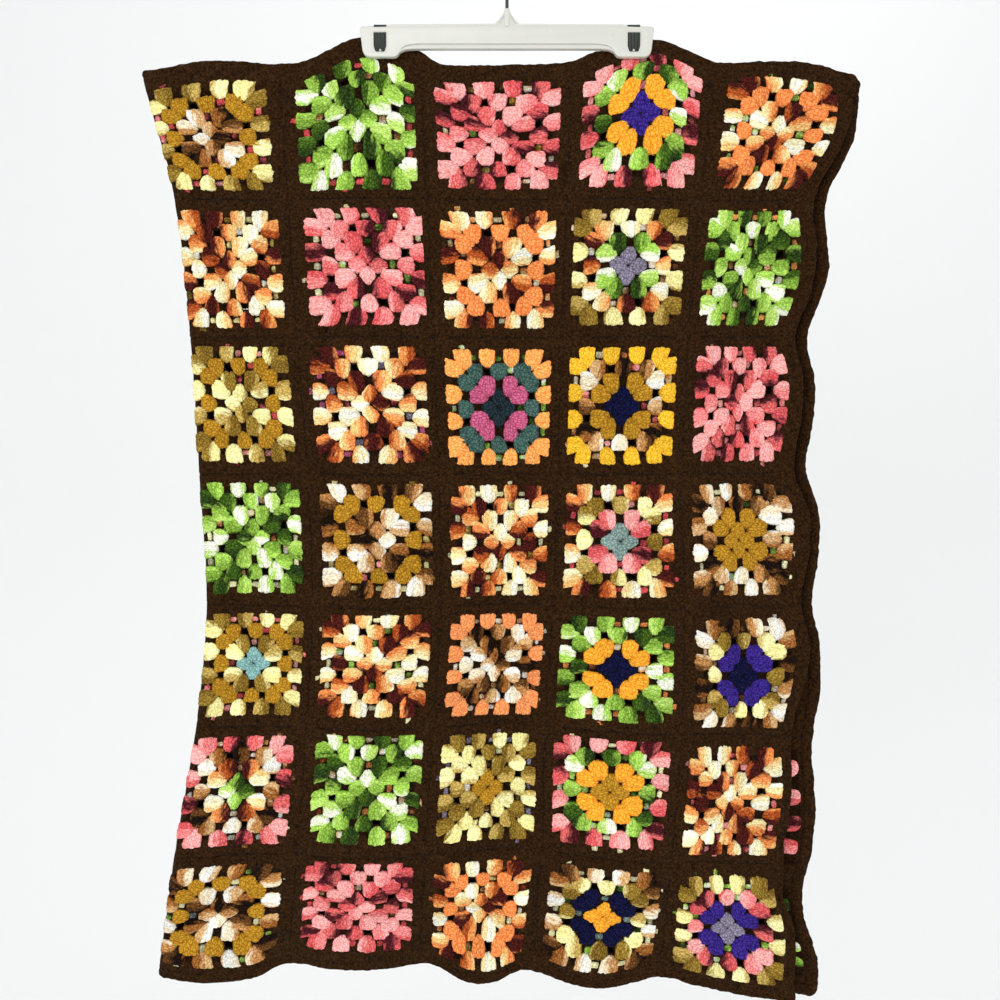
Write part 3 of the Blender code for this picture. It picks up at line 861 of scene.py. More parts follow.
def along_noise(dice: np.random.Generator, count: int, smooth: int, size: float) -> np.ndarray:
    """Wavers along a line: white noise averaged over a window, then scaled to a standard deviation.

    Args:
        dice: the random numbers.
        count: how many places.
        smooth: the window, in places.
        size: the standard deviation.

    Returns:
        A value for each place.
    """
    window = np.hanning(smooth + 2)
    wavers = np.convolve(dice.normal(0, 1, count + 2 * smooth), window / window.sum(), "same")[smooth:-smooth]
    return wavers / wavers.std() * size


def one_each(dice: np.random.Generator, count: int, spread: float) -> np.ndarray:
    """Draws a normal difference for each cluster, with two more axes for a cluster's grid."""
    return dice.normal(0, spread, count)[:, None, None]


@dataclass(frozen=True)
class Cluster:
    """A cluster of three tall stitches, as a pillow over a grid of shares across and along it.

    Across runs from -1 to 1 and along from 0 at the foot to 1 at the top, and the widths are the half width's
    shares at each place along. Light, where it has any, is painted shade: the range of each whole cluster's
    brightness.
    """

    across: tuple[float, ...] = (-1, -0.85, -0.6, -0.33, -0.14, 0.14, 0.33, 0.6, 0.85, 1)
    along: tuple[float, ...] = (0, 0.1, 0.3, 0.55, 0.8, 0.93, 1)
    widths: tuple[float, ...] = (0.42, 0.66, 0.84, 0.95, 1, 1, 0.93)
    stitches: int = 3
    groove: float = 0.2
    groove_shade: float = 0.12
    ridge_power: float = 0.7
    chain: float = 0.1
    chain_places: tuple[float, float] = (0.7, 0.9)
    head_fall: float = 0.1
    sunk: float = 0.35
    rim_shade: float = 0.14
    foot_shade_to: float = 0.2
    waver: float = 0.3 * MM
    mixing: float = 0.3
    foot_bend: float = 0.8
    head_corner: float = 2 * MM
    foot_corner: float = 2.2 * MM
    head_bump: float = 0.8 * MM
    foot_rise: float = 0.25
    light: tuple[float, ...] = ()

    def grid(self) -> tuple[np.ndarray, np.ndarray]:
        """The grid's shares across and along, one row for each share along."""
        return np.meshgrid(np.array(self.across), np.array(self.along))

    def ridges(self, across: np.ndarray) -> np.ndarray:
        """One rounded ridge for each stitch: the size of a cosine with a zero at each groove."""
        return np.abs(np.cos(self.stitches * np.pi / 2 * across)) ** self.ridge_power

    def relief(self) -> np.ndarray:
        """Works out the pillow's height over its grid.

        It is a dome across and along, times the ridges, with a raised chain along the head and a dip below
        the chain.

        Returns:
            Shares of the full height; the rim is 0.
        """
        across, along = self.grid()
        dome = np.sqrt(np.clip(1 - np.abs(across) ** 4, 0, 1))
        foot, head = along / self.foot_rise, (1 - along) / self.head_fall
        ends = np.clip(foot, 0, 1) ** 0.5 * np.sqrt(np.clip(head, 0, 1))
        dip, crest = self.chain_places
        stitched = 1 - self.groove * (1 - self.ridges(across)) * (1 - 0.5 * smooth_step(dip, crest, along))
        sunk, raised = (np.exp(-(((along - place) / self.chain) ** 2)) for place in self.chain_places)
        chain = 1 + self.chain * raised - self.chain * sunk
        return dome * ends * stitched * chain

    def shading(self) -> np.ndarray:
        """Painted shade over the grid: the yarn is darker in the grooves, at the rim and at the foot."""
        across, along = self.grid()
        lit = 1 - self.groove_shade * (1 - self.ridges(across))
        lit *= 1 - self.rim_shade * (np.abs(across) > 0.99)
        lit *= 1 - self.rim_shade * smooth_step(self.foot_shade_to, 0.0, along)
        return lit

    def faces(self) -> tuple[np.ndarray, np.ndarray]:
        """Joins the grid's points.

        Returns:
            The quads of the top, and the one face that closes it below.
        """
        quads, rim = joined_grid(len(self.along), len(self.across))
        return quads, rim[None, ::-1]


class Layer(Enum):
    """The blanket's two layers."""

    FRONT = (0, FRONT_CHART, 11)
    BACK = (-5, BACK_CHART, 29)

    def __init__(self, first: int, chart: tuple[str, ...], seed: int) -> None:
        """Names what each layer's line gives.

        Args:
            first: the first of its columns of squares.
            chart: its yarns.
            seed: for the small differences between its stitches.
        """
        self.first = first
        self.chart = chart
        self.seed = seed

    def facing_letters(self, row: int, column: int) -> str:
        """The four yarns of the square of the other layer that lies behind one of this layer's.

        Args:
            row: the square's row.
            column: its column in its own layer's chart.

        Returns:
            The letters of that square's rounds.
        """
        other = Layer.BACK if self is Layer.FRONT else Layer.FRONT
        return other.chart[row].split()[::-1][column]

    def piece(self, name: str) -> str:
        """The name of this layer's piece of a kind."""
        return f"{name}_{self.name.lower()}"


@dataclass
class ClusterTable:
    """Clusters, as columns with one number for each.

    The square's centre is in squares of the blanket and the turn is in radians; the places from that centre,
    sideways and outwards, are in metres on the flat cloth. Then come the yarn's letter, the stitch of its
    round that the cluster begins at and the stitch of the yarn's colours that the round starts at.
    """

    square_u: np.ndarray
    square_v: np.ndarray
    turn: np.ndarray
    sideways: np.ndarray
    foot: np.ndarray
    inner: np.ndarray
    outer: np.ndarray
    half_width: np.ndarray
    lift: np.ndarray
    yarn: np.ndarray
    stitch: np.ndarray
    start: np.ndarray

    @classmethod
    def of(cls, rows: list[tuple]) -> "ClusterTable":
        """The table of a list of rows."""
        return cls(*(np.array(column) for column in zip(*rows)))

    def where(self, keep: np.ndarray) -> "ClusterTable":
        """The rows that a mask keeps."""
        return ClusterTable(*(column[keep] for column in vars(self).values()))

    def over_grid(self) -> dict[str, np.ndarray]:
        """The columns of numbers by name, each with two more axes for a cluster's grid."""
        return {name: column[:, None, None] for name, column in vars(self).items() if name != "yarn"}


@dataclass(frozen=True)
class Cloth:
    """The sizes that all the blanket's parts share.

    The round edges are how far each round reaches from its square's centre, and a round's last clusters sit
    the corner's set in from its corners.
    """

    drape: Drape = Drape()
    thickness: float = 2 * MM
    brown_height: float = 1.3 * MM
    round_edges: tuple[float, ...] = (20 * MM, 34 * MM, 47 * MM, 60.5 * MM, 71.6 * MM)
    corner_set: float = 19.5 * MM


@dataclass(frozen=True)
class Ground(Cloth):
    """The thin sheet that carries the clusters, with its open spaces cut out.

    Each square is a grid of square rings and of shares along each ring's sides. One cell between two clusters
    of the third round is left out on each side.
    """

    rings: tuple[float, ...] = tuple(
        k * MM for k in (0.5, 12, 21.5, 27.5, 33, 40, 46, 53, 57, 61, 65.5, 71)
    )
    shares: tuple[float, ...] = (-1, -0.8, -0.63, -0.44, -0.25, -0.12, 0.12, 0.25, 0.44, 0.63, 0.8)
    open_band: int = 4
    open_share: int = 3
    gap_shade: float = 0.5
    gap_margin: float = 3 * MM

    def add(self, finish: bpy.types.Material) -> bpy.types.Object:
        """Builds the sheet, brown, with painted shade darkening it inside the third round's edge.

        Args:
            finish: its material.

        Returns:
            The sheet.
        """
        rings, shares = np.array(self.rings), np.array(self.shares)
        side = np.repeat(np.arange(4), len(shares))
        share = np.tile(shares, 4)
        ring, place = np.meshgrid(rings, np.arange(len(side)), indexing="ij")
        lateral, radial = ring * share[place], ring
        turn = side[place] * math.pi / 2
        over = np.round(lateral * np.cos(turn) + radial * np.sin(turn), 7)
        down = np.round(lateral * np.sin(turn) - radial * np.cos(turn), 7)

        quads = joined_rings(*ring.shape)
        keep = np.ones(quads.shape[:2], bool)
        keep[self.open_band, self.open_share + len(shares) * np.arange(4)] = False
        quads = quads[keep]
        centre = np.arange(len(side))[None, ::-1]

        columns, rows = np.meshgrid(
            np.arange(-self.drape.columns, self.drape.columns) + 0.5, np.arange(self.drape.rows) + 0.5
        )
        u = (columns.ravel()[:, None] + over.ravel() / self.drape.square).ravel()
        v = (rows.ravel()[:, None] + down.ravel() / self.drape.square).ravel()
        faces = repeated_faces((quads, centre), columns.size, ring.size)

        # Painted shade: the ground is darker inside that edge, where it shows in the gaps between the
        # clusters.
        depth = np.where(ring < self.round_edges[3] - self.gap_margin, self.gap_shade, 1.0).ravel()
        colours = np.tile(depth[:, None] * Yarn.BROWN.first_colour, (columns.size, 1))
        keys = np.round(np.column_stack([u, v]), 5)
        _, first, merged = np.unique(keys, axis=0, return_index=True, return_inverse=True)
        faces = [merged.ravel()[block] for block in faces]
        u, v, colours = u[first], v[first], colours[first]
        points = self.drape.raise_points(u, v, np.zeros_like(u))
        flat = np.column_stack([u, v]) * self.drape.square
        made = add_piece("blanket_ground", points, faces, colours, flat, finish)
        wall = made.modifiers.new("thickness", "SOLIDIFY")
        wall.thickness = self.thickness
        wall.offset = 0
        return made


@dataclass(frozen=True)
class Edging(Cloth):
    """A ribbed band along each layer's three outer sides.

    Across, it is half a flattened ellipse with a ridge near its outer edge, given as shares of its width and
    height. Its edge wavers over each count of steps by each spread, and beside the clips it is drawn up, by a
    height over a spread at each place.
    """

    step: float = 2 * MM
    across: tuple[float, ...] = (-0.35, -0.2, 0.1, 0.35, 0.55, 0.7, 0.86, 0.97, 1.0, 0.97, 0.6, -0.35)
    heights: tuple[float, ...] = (-0.5, 0.8, 0.95, 0.75, 0.6, 1.0, 0.95, 0.5, 0.0, -0.5, -0.9, -0.9)
    wavers: tuple[tuple[int, float], ...] = ((20, 0.05), (3, 0.03))
    rise_spread: float = 0.12 * MM
    rib: float = 0.16
    stitch_width: float = 6 * MM
    seed_step: int = 2
    drawn: tuple[tuple[float, float, float], ...] = ((-90 * MM, 9 * MM, 14 * MM), (87 * MM, 5 * MM, 12 * MM))

    def path(self) -> tuple[np.ndarray, np.ndarray, np.ndarray, np.ndarray]:
        """Follows the front layer's top edge, free edge and bottom edge, turning round both corners.

        Returns:
            The squares across and down of each step, and the way out from the edge there, across and down.
        """
        columns, rows = self.drape.columns, self.drape.rows
        top = np.arange(0, columns, self.step / self.drape.square)
        down = np.arange(0, rows, self.step / self.drape.square)
        turn = np.linspace(0, np.pi / 2, 7)[1:-1]
        flat = np.zeros_like
        u = np.concatenate([top, columns + flat(turn), columns + flat(down), columns + flat(turn), top[::-1]])
        v = np.concatenate([flat(top), flat(turn), down, rows + flat(turn), rows + flat(top)])
        out_u = np.concatenate([flat(top), np.sin(turn), 1 + flat(down), np.cos(turn), flat(top)])
        out_v = np.concatenate([flat(top) - 1, -np.cos(turn), flat(down), np.sin(turn), 1 + flat(top)])
        return u, v, out_u, out_v

    def add(self, layer: Layer, finish: bpy.types.Material) -> bpy.types.Object:
        """Builds a layer's edging: its profile carried along its path, with a cosine's ribs for the stitches.

        Args:
            layer: which of the two layers.
            finish: its material.

        Returns:
            The piece.
        """
        dice = np.random.default_rng(layer.seed + self.seed_step)
        u, v, out_u, out_v = self.path()
        toward = -1 if layer is Layer.BACK else 1
        across, height = np.array(self.across), np.array(self.heights)
        reach = sum(along_noise(dice, len(u), smooth, spread) for smooth, spread in self.wavers)
        flat_x = self.drape.place(toward * u, v)[0][:, 0]
        for middle, lift, spread in self.drawn:
            reach += (v == 0) * lift / self.drape.edging * np.exp(-(((flat_x - middle) / spread) ** 2))
        reach = 1 + reach[:, None] * (across > 0.5)
        stitches = np.arange(len(u)) * self.step / self.stitch_width
        ribbed = 1 + self.rib * np.sin(2 * np.pi * stitches)[:, None]
        rise = np.where(height > 0, height * ribbed, height) * self.brown_height
        rise = rise + dice.normal(0, self.rise_spread, rise.shape)
        out = self.drape.edging / self.drape.square
        grid_u = toward * (u[:, None] + out * reach * across * out_u[:, None])
        grid_v = v[:, None] + out * reach * across * out_v[:, None]
        points = self.drape.raise_points(grid_u, grid_v, np.sign(height) * self.thickness / 2, rise)

        count, around = grid_u.shape
        quads = joined_rings(count, around).reshape(-1, 4)
        ends = np.stack([np.arange(around)[::-1], np.arange(around) + (count - 1) * around])
        if layer is Layer.FRONT:
            quads, ends = quads[:, ::-1], ends[:, ::-1]
        colours = np.tile(Yarn.BROWN.first_colour, (grid_u.size, 1))
        chart = np.column_stack([grid_u.ravel(), grid_v.ravel()]) * self.drape.square
        return add_piece(
            layer.piece("edging"), points.reshape(-1, 3), [quads, ends], colours, chart, finish
        )


@dataclass(frozen=True)
class Crochet(Cloth):
    """Clusters of stitches on the cloth, with the small differences between them as standard deviations."""

    jitter: float = 0.6 * MM
    lean: float = math.radians(4)
    length_spread: float = 0.4 * MM
    width_spread: float = 0.04
    height_spread: float = 0.08
    shade_spread: float = 0.05
    rise_spread: float = 0.2 * MM
    pattern_step: tuple[float, float] = (0.31, 0.17)

    def spread_out(
        self, shape: Cluster, column: dict[str, np.ndarray], height: float, dice: np.random.Generator
    ) -> tuple[np.ndarray, np.ndarray, np.ndarray]:
        """Works out where clusters' points lie on the flat cloth, before each is turned to its side.

        A cluster runs from its foot out to its head, which bulges over each stitch. Its corners are drawn
        in, it leans a little, and its rim is sunk into the ground.

        Args:
            shape: the shape of them all.
            column: the clusters, over its grid.
            height: how far they stand off the ground.
            dice: the random numbers.

        Returns:
            The places sideways and outwards from the square's centre, and the rises.
        """
        across, along = shape.grid()
        each = partial(one_each, dice, len(column["turn"]))
        reach = column["outer"] - column["inner"]
        bumps = shape.head_bump * shape.ridges(across) * along**3
        corners = shape.foot_corner * across**2 * (1 - along) ** 2 - shape.head_corner * across**4 * along**4
        radial = column["inner"] + along * reach + corners + bumps + along * each(self.length_spread)
        middle = column["foot"] + (column["sideways"] - column["foot"]) * along**shape.foot_bend
        lateral = across * np.array(shape.widths)[:, None] * column["half_width"]
        lateral = lateral * (1 + each(self.width_spread))
        lateral = lateral + (along - 0.5) * reach * np.tan(each(self.lean)) + middle + each(self.jitter)
        lateral = lateral + dice.normal(0, shape.waver, lateral.shape)
        radial = radial + dice.normal(0, shape.waver, lateral.shape)
        relief = shape.relief()
        rise = relief * height * (1 + each(self.height_spread))
        rise = rise + column["lift"] * (1 - along) * np.sqrt(relief)
        rise = rise + dice.normal(0, self.rise_spread, rise.shape)
        rise = np.where(relief > 0.01, rise, -shape.sunk * height)
        return lateral, radial, rise

    def dyed_and_shaded(self, shape: Cluster, table: ClusterTable, dice: np.random.Generator) -> np.ndarray:
        """Works out clusters' colours: their yarn's at each stitch, times the painted shade.

        Args:
            shape: the shape of them all.
            table: the clusters.
            dice: the random numbers.

        Returns:
            Linear colours for every point, with three channels as the last axis.
        """
        column, count = table.over_grid(), len(table.turn)
        stitch = column["stitch"] + (shape.grid()[0] + 1) * shape.stitches / 2
        stitch = stitch + dice.normal(0, shape.mixing, stitch.shape)
        start = np.broadcast_to(column["start"], stitch.shape)
        colours = np.zeros((*stitch.shape, 3))
        for letter in np.unique(table.yarn):
            chosen = table.yarn == letter
            colours[chosen] = YARN_OF[letter].along(stitch[chosen], start[chosen])
        # Painted shade in the grooves, at the rim and at the foot, and a random tone for each cluster.
        colours *= (shape.shading() * (1 + one_each(dice, count, self.shade_spread)))[..., None]
        # Painted shade for each whole cluster, where its shape gives a range for it.
        if shape.light:
            colours *= dice.uniform(*shape.light, count)[:, None, None, None]
        return colours

    def add_clusters(
        self,
        name: str,
        shape: Cluster,
        table: ClusterTable,
        height: float,
        seed: int,
        finish: bpy.types.Material,
        facing: int = 1,
    ) -> bpy.types.Object:
        """Builds every cluster of a table as one joined piece.

        Args:
            name: the piece's name.
            shape: the shape of them all.
            table: the clusters.
            height: how far they stand off the ground.
            seed: for the small differences between them.
            finish: their material.
            facing: 1 for the blanket's outer face, -1 for its inner one.

        Returns:
            The piece.
        """
        dice = np.random.default_rng(seed)
        column = table.over_grid()
        lateral, radial, rise = self.spread_out(shape, column, height, dice)
        cosine, sine = np.cos(column["turn"]), np.sin(column["turn"])
        over = lateral * cosine + radial * sine
        down = lateral * sine - radial * cosine
        u = column["square_u"] + over / self.drape.square
        v = column["square_v"] + down / self.drape.square
        points = self.drape.raise_points(u, v, facing * self.thickness / 2, facing * rise).reshape(-1, 3)
        colours = self.dyed_and_shaded(shape, table, dice).reshape(-1, 3)

        blocks = repeated_faces(shape.faces(), len(lateral), lateral[0].size)
        faces = [block[:, ::facing] for block in blocks]
        # The stitches' pattern starts at a place of its own in each square.
        step_u, step_v = self.pattern_step
        flat = np.stack([lateral + step_u * column["square_u"], radial + step_v * column["square_v"]], -1)
        return add_piece(name, points, faces, colours, flat.reshape(-1, 2), finish)


@dataclass(frozen=True)
class Rounds(Crochet):
    """The rounds of clusters: four coloured ones and a brown one to each square.

    Round n has n clusters along each side, from inside the round before out to its own edge. The brown one
    also has one on each diagonal, of the given half width and length.
    """

    cluster: Cluster = Cluster()
    petal: Cluster = Cluster(widths=(0.3, 0.55, 0.95, 1, 0.7, 0.5, 0.34))
    inner_head: Cluster = Cluster(widths=(0.82, 0.82, 0.82, 0.78, 0.64, 0.46, 0.2))
    brown_cluster: Cluster = Cluster(
        across=(-1, -0.85, -0.5, 0, 0.5, 0.85, 1),
        along=(0, 0.2, 0.5, 0.85, 1),
        widths=(0.55, 0.75, 0.95, 1, 0.97),
        groove=0.1,
        rim_shade=0.05,
    )
    overlap: float = 6 * MM
    corner_overlap: float = 9 * MM
    half_width: float = 10.8 * MM
    petal_half_width: float = 9.6 * MM
    brown_half_width: float = 15.2 * MM
    brown_overlap: float = 10 * MM
    diagonal_size: tuple[float, float] = (14 * MM, 26 * MM)
    diagonal_inset: float = 1 * MM
    width_range: tuple[float, float] = (0.92, 1.06)
    height: float = 2.5 * MM
    foot_lift: float = 0.8 * MM
    pair_lift: float = 0.3 * MM
    inner_height: float = 1.4 * MM
    inner_heads_from: float = 5.0

    def table(self, layer: Layer) -> ClusterTable:
        """Lists the clusters of every round of every square in a layer.

        Args:
            layer: which of the two layers.

        Returns:
            The table.
        """
        dice = np.random.default_rng(layer.seed)
        rows = []
        for row, (yarns, starts) in enumerate(zip(layer.chart, START_CHART)):
            for column, (letters, codes) in enumerate(zip(yarns.split(), starts.split())):
                centre = (layer.first + column + 0.5, row + 0.5)
                letters, codes = letters + Yarn.BROWN.letter, codes + "a"
                for number, (letter, code) in enumerate(zip(letters, codes), start=1):
                    rows += self.round_rows(centre, number, letter, ord(code) - ord("a"), dice)
        return ClusterTable.of(rows)

    def round_rows(
        self, centre: tuple[float, float], number: int, letter: str, start: int, dice: np.random.Generator
    ) -> list[tuple]:
        """Lists one round's clusters, clockwise as seen from outside.

        Args:
            centre: the square's centre, in squares.
            number: which round, from 1.
            letter: its yarn in the chart.
            start: the stitch of the yarn's colours that it starts at.
            dice: the random numbers.

        Returns:
            The table's rows.
        """
        brown = letter == Yarn.BROWN.letter
        before = self.round_edges[number - 2] if number > 1 else 0.0
        outer = self.round_edges[number - 1]
        rows = []
        for side in range(4):
            turn = side * math.pi / 2
            for k, place in enumerate(np.linspace(-1, 1, number) if number > 1 else [0.0]):
                sideways = foot = place * (outer - self.corner_set)
                inner, width, lift = before - self.overlap, self.half_width, self.foot_lift
                if number == 1:
                    inner, width, lift = 0.0, self.petal_half_width, 0.0
                elif brown:
                    inner, width, lift = before - self.brown_overlap, self.brown_half_width, 0.0
                elif k in (0, number - 1):
                    inner = before - self.corner_overlap
                    foot = math.copysign(inner, sideways)
                    lift += self.pair_lift * (k == 0)
                width *= dice.uniform(*self.width_range)
                stitch = (side * number + k) * self.cluster.stitches
                rows.append((*centre, turn, sideways, foot, inner, outer, width, lift, letter, stitch, start))
            if brown:
                turn = (side + 0.5) * math.pi / 2
                width, length = self.diagonal_size
                out = outer * math.sqrt(2) - self.diagonal_inset
                rows.append((*centre, turn, 0.0, 0.0, out - length, out, width, 0.0, letter, 0, start))
        return rows

    def add(
        self, layer: Layer, finish: bpy.types.Material, brown_finish: bpy.types.Material
    ) -> list[bpy.types.Object]:
        """Builds a layer's rounds.

        Args:
            layer: which of the two layers.
            finish: the coloured yarns' material.
            brown_finish: the brown yarn's.

        Returns:
            The pieces of the first rounds, the other coloured rounds and the brown ones.
        """
        table = self.table(layer)
        brown = table.yarn == Yarn.BROWN.letter
        first = (table.inner == 0) & ~brown
        groups = (
            ("first_rounds", self.petal, first, self.height, finish),
            ("coloured_rounds", self.cluster, ~brown & ~first, self.height, finish),
            ("brown_rounds", self.brown_cluster, brown, self.brown_height, brown_finish),
        )
        pieces = []
        for name, shape, chosen, height, yarn in groups:
            rows = table.where(chosen)
            pieces.append(self.add_clusters(layer.piece(name), shape, rows, height, layer.seed, yarn))
        return pieces

    def add_inner_heads(self, finish: bpy.types.Material) -> bpy.types.Object:
        """Builds the back layer's clusters that are seen from in front, past the front layer's free edge.

        They are the last coloured round's, on the side next to the free edge of the lowest squares, and lie
        on the cloth's inner face.

        Args:
            finish: their material.

        Returns:
            The piece.
        """
        table = self.table(Layer.BACK)
        chosen = (table.square_u < 1 - self.drape.columns) & (table.square_v > self.inner_heads_from)
        chosen &= np.isclose(table.turn, 3 * math.pi / 2) & (table.outer == self.round_edges[3])
        heads, seed = table.where(chosen), Layer.BACK.seed
        return self.add_clusters("inner_heads", self.inner_head, heads, self.inner_height, seed, finish, -1)


@dataclass(frozen=True)
class Specks(Crochet):
    """Specks of the other layer's yarn that show through a layer's open spaces, each dimmed by painted shade.

    They lie between the clusters of the second to fourth rounds, but for the gap left open, and outside the
    fourth round's clusters. Each size is a half width and a length, which the ranges change a little, and
    each share is how many of those places have one.
    """

    speck: Cluster = Cluster(
        across=(-1, -0.6, 0.6, 1),
        along=(0, 0.3, 0.7, 1),
        widths=(0.66, 1, 1, 0.66),
        groove=0,
        head_corner=0,
        foot_corner=0,
        head_bump=0,
        waver=0.4 * MM,
        # Painted shade: each speck lies in shade behind an open space.
        light=(0.35, 0.85),
    )
    open_gap: tuple[int, int] = (3, 0)
    gap_share: float = 0.6
    gap_size: tuple[float, float] = (5 * MM, 9 * MM)
    gap_inset: float = 1 * MM
    edge_share: float = 0.15
    edge_size: tuple[float, float] = (4 * MM, 6.5 * MM)
    edge_inset: float = 1.5 * MM
    width_range: tuple[float, float] = (0.8, 1.15)
    length_range: tuple[float, float] = (0.75, 1.1)
    place_spread: float = 1 * MM
    start_range: tuple[float, float] = (0, 40)
    height: float = 1.4 * MM
    seed_step: int = 7

    def places(self) -> list[tuple]:
        """Lists one side's places: the round, the place sideways and outwards, the size and the share."""
        places = []
        for number in (2, 3, 4):
            spread = self.round_edges[number - 1] - self.corner_set
            inner = self.round_edges[number - 2] + self.gap_inset
            for k in range(number - 1):
                if (number, k) != self.open_gap:
                    sideways = spread * ((2 * k + 1) / (number - 1) - 1)
                    places.append((number, sideways, inner, *self.gap_size, self.gap_share))
        spread = self.round_edges[3] - self.corner_set
        inner = self.round_edges[3] - self.edge_inset
        for place in np.linspace(-1, 1, 4):
            places.append((4, place * spread, inner, *self.edge_size, self.edge_share))
        return places

    def table(self, layer: Layer) -> ClusterTable:
        """Lists the specks of every square in a layer.

        Args:
            layer: the layer that they are seen on.

        Returns:
            The table.
        """
        dice = np.random.default_rng(layer.seed + self.seed_step)
        places = self.places()
        rows = []
        for square in range(self.drape.rows * self.drape.columns):
            row, column = divmod(square, self.drape.columns)
            letters = layer.facing_letters(row, column)
            centre = (layer.first + column + 0.5, row + 0.5)
            for turn in np.arange(4) * math.pi / 2:
                for number, sideways, inner, width, length, share in places:
                    sideways = sideways + dice.normal(0, self.place_spread)
                    outer = inner + length * dice.uniform(*self.length_range)
                    size = width * dice.uniform(*self.width_range)
                    end = (turn, sideways, sideways, inner, outer, size, 0.0, letters[number - 1], 0)
                    if dice.random() < share:
                        rows.append((*centre, *end, dice.uniform(*self.start_range)))
        return ClusterTable.of(rows)

    def add(self, layer: Layer, finish: bpy.types.Material) -> bpy.types.Object:
        """Builds a layer's specks.

        Args:
            layer: the layer that they are seen on.
            finish: their material.

        Returns:
            The piece.
        """
        name, table = layer.piece("specks"), self.table(layer)
        return self.add_clusters(name, self.speck, table, self.height, layer.seed, finish)


@dataclass(frozen=True)
class GrannyBlanket:
    """The whole blanket: its ground and, in each layer, its rounds, specks and edging."""

    ground: Ground = Ground()
    rounds: Rounds = Rounds()
    specks: Specks = Specks()
    edging: Edging = Edging()

    def dress(self, finish: bpy.types.Material, brown_finish: bpy.types.Material) -> None:
        """Args:
            finish: the coloured yarns' material.
            brown_finish: the brown yarn's.
        """
        ground = self.ground.add(brown_finish)
        pieces = []
        for layer in Layer:
            pieces += self.rounds.add(layer, finish, brown_finish)
            pieces.append(self.specks.add(layer, finish))
            pieces.append(self.edging.add(layer, brown_finish))
        pieces.append(self.rounds.add_inner_heads(finish))
        for piece in [ground, *pieces]:
            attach(piece, "root")
        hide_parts("blanket")


# ---- the hanger ----


def rounded(corners: Corners, steps: int = 7) -> np.ndarray:
    """Rounds a closed outline's corners.

    Each corner turns as the quadratic curve from a point before it to one after it. They lie along the sides,
    the radius over the tangent of half the corner's angle away.

    Args:
        corners: each corner's x, z and radius, in millimetres.
        steps: how many points there are to a corner.

    Returns:
        The outline's points, two columns in metres.
    """
    table = np.array(corners) * MM
    corner, radius = table[:, :2], table[:, 2:]
    back, on = (np.roll(corner, shift, axis=0) - corner for shift in (1, -1))
    back, on = (side / np.linalg.norm(side, axis=1, keepdims=True) for side in (back, on))
    half_angle = np.arccos(np.clip((back * on).sum(axis=1, keepdims=True), -1, 1)) / 2
    away = radius / np.tan(half_angle)
    t = np.linspace(0, 1, steps)[None, :, None]
    begin, tip, end = ((corner + side * away)[:, None] for side in (back, 0 * back, on))
    return ((1 - t) ** 2 * begin + 2 * t * (1 - t) * corner[:, None] + t**2 * end).reshape(-1, 2)


def add_part(
    name: str,
    mesh: bpy.types.Mesh,
    finish: bpy.types.Material,
    sharp: float = math.radians(35),
) -> bpy.types.Object:
    """Puts a mesh into a piece that rides with the blanket's body.

    Args:
        name: the piece's name.
        mesh: its mesh.
        finish: its material.
        sharp: the angle from which an edge stays sharp.

    Returns:
        The piece, at the origin.
    """
    mesh.shade_smooth()
    mesh.set_sharp_from_angle(angle=sharp)
    mesh.materials.clear()
    mesh.materials.append(finish)
    made = link_object(name, mesh)
    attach(made, "root")
    log.info("%s: %d points", name, len(mesh.vertices))
    return made


def add_plate(
    name: str,
    outlines: list[np.ndarray],
    low: float,
    high: float,
    rounding: float,
    finish: bpy.types.Material,
) -> bpy.types.Object:
    """Builds a flat plate that stands upright, with rounded edges.

    The outlines fill a flat curve, those inside another being holes, and its edge turns through a quarter
    circle. The curve becomes a mesh, whose x, y and z turn into x, the middle less z, and y.

    Args:
        name: the piece's name.
        outlines: closed outlines in x and z.
        low: the front's y.
        high: the back's y.
        rounding: the edge's radius.
        finish: the material.

    Returns:
        The piece.
    """
    curve = bpy.data.curves.new(name, "CURVE")
    curve.dimensions = "2D"
    curve.fill_mode = "BOTH"
    curve.extrude = (high - low) / 2 - rounding
    curve.bevel_depth = rounding
    curve.offset = -rounding
    curve.bevel_resolution = 2
    for outline in outlines:
        spline = curve.splines.new("POLY")
        spline.points.add(len(outline) - 1)
        spline.points.foreach_set("co", np.pad(outline, ((0, 0), (0, 2))).ravel())
        spline.use_cyclic_u = True
    flat = bpy.data.objects.new(name, curve)
    mesh = bpy.data.meshes.new_from_object(flat)
    bpy.data.objects.remove(flat)
    welded = bmesh.new()
    welded.from_mesh(mesh)
    bmesh.ops.remove_doubles(welded, verts=welded.verts, dist=0.001 * MM)
    welded.to_mesh(mesh)
    welded.free()
    points = np.zeros(3 * len(mesh.vertices), np.float32)
    mesh.vertices.foreach_get("co", points)
    x, y, z = points.reshape(-1, 3).T
    mesh.vertices.foreach_set("co", np.column_stack([x, (low + high) / 2 - z, y]).ravel())
    return add_part(name, mesh, finish)


def mirrored(corners: Corners) -> Corners:
    """The left half of an outline, from its right half."""
    return tuple((-x, z, radius) for x, z, radius in corners[::-1])


def moved(corners: Corners, x: float) -> Corners:
    """An outline moved sideways."""
    return tuple((corner + x, z, radius) for corner, z, radius in corners)


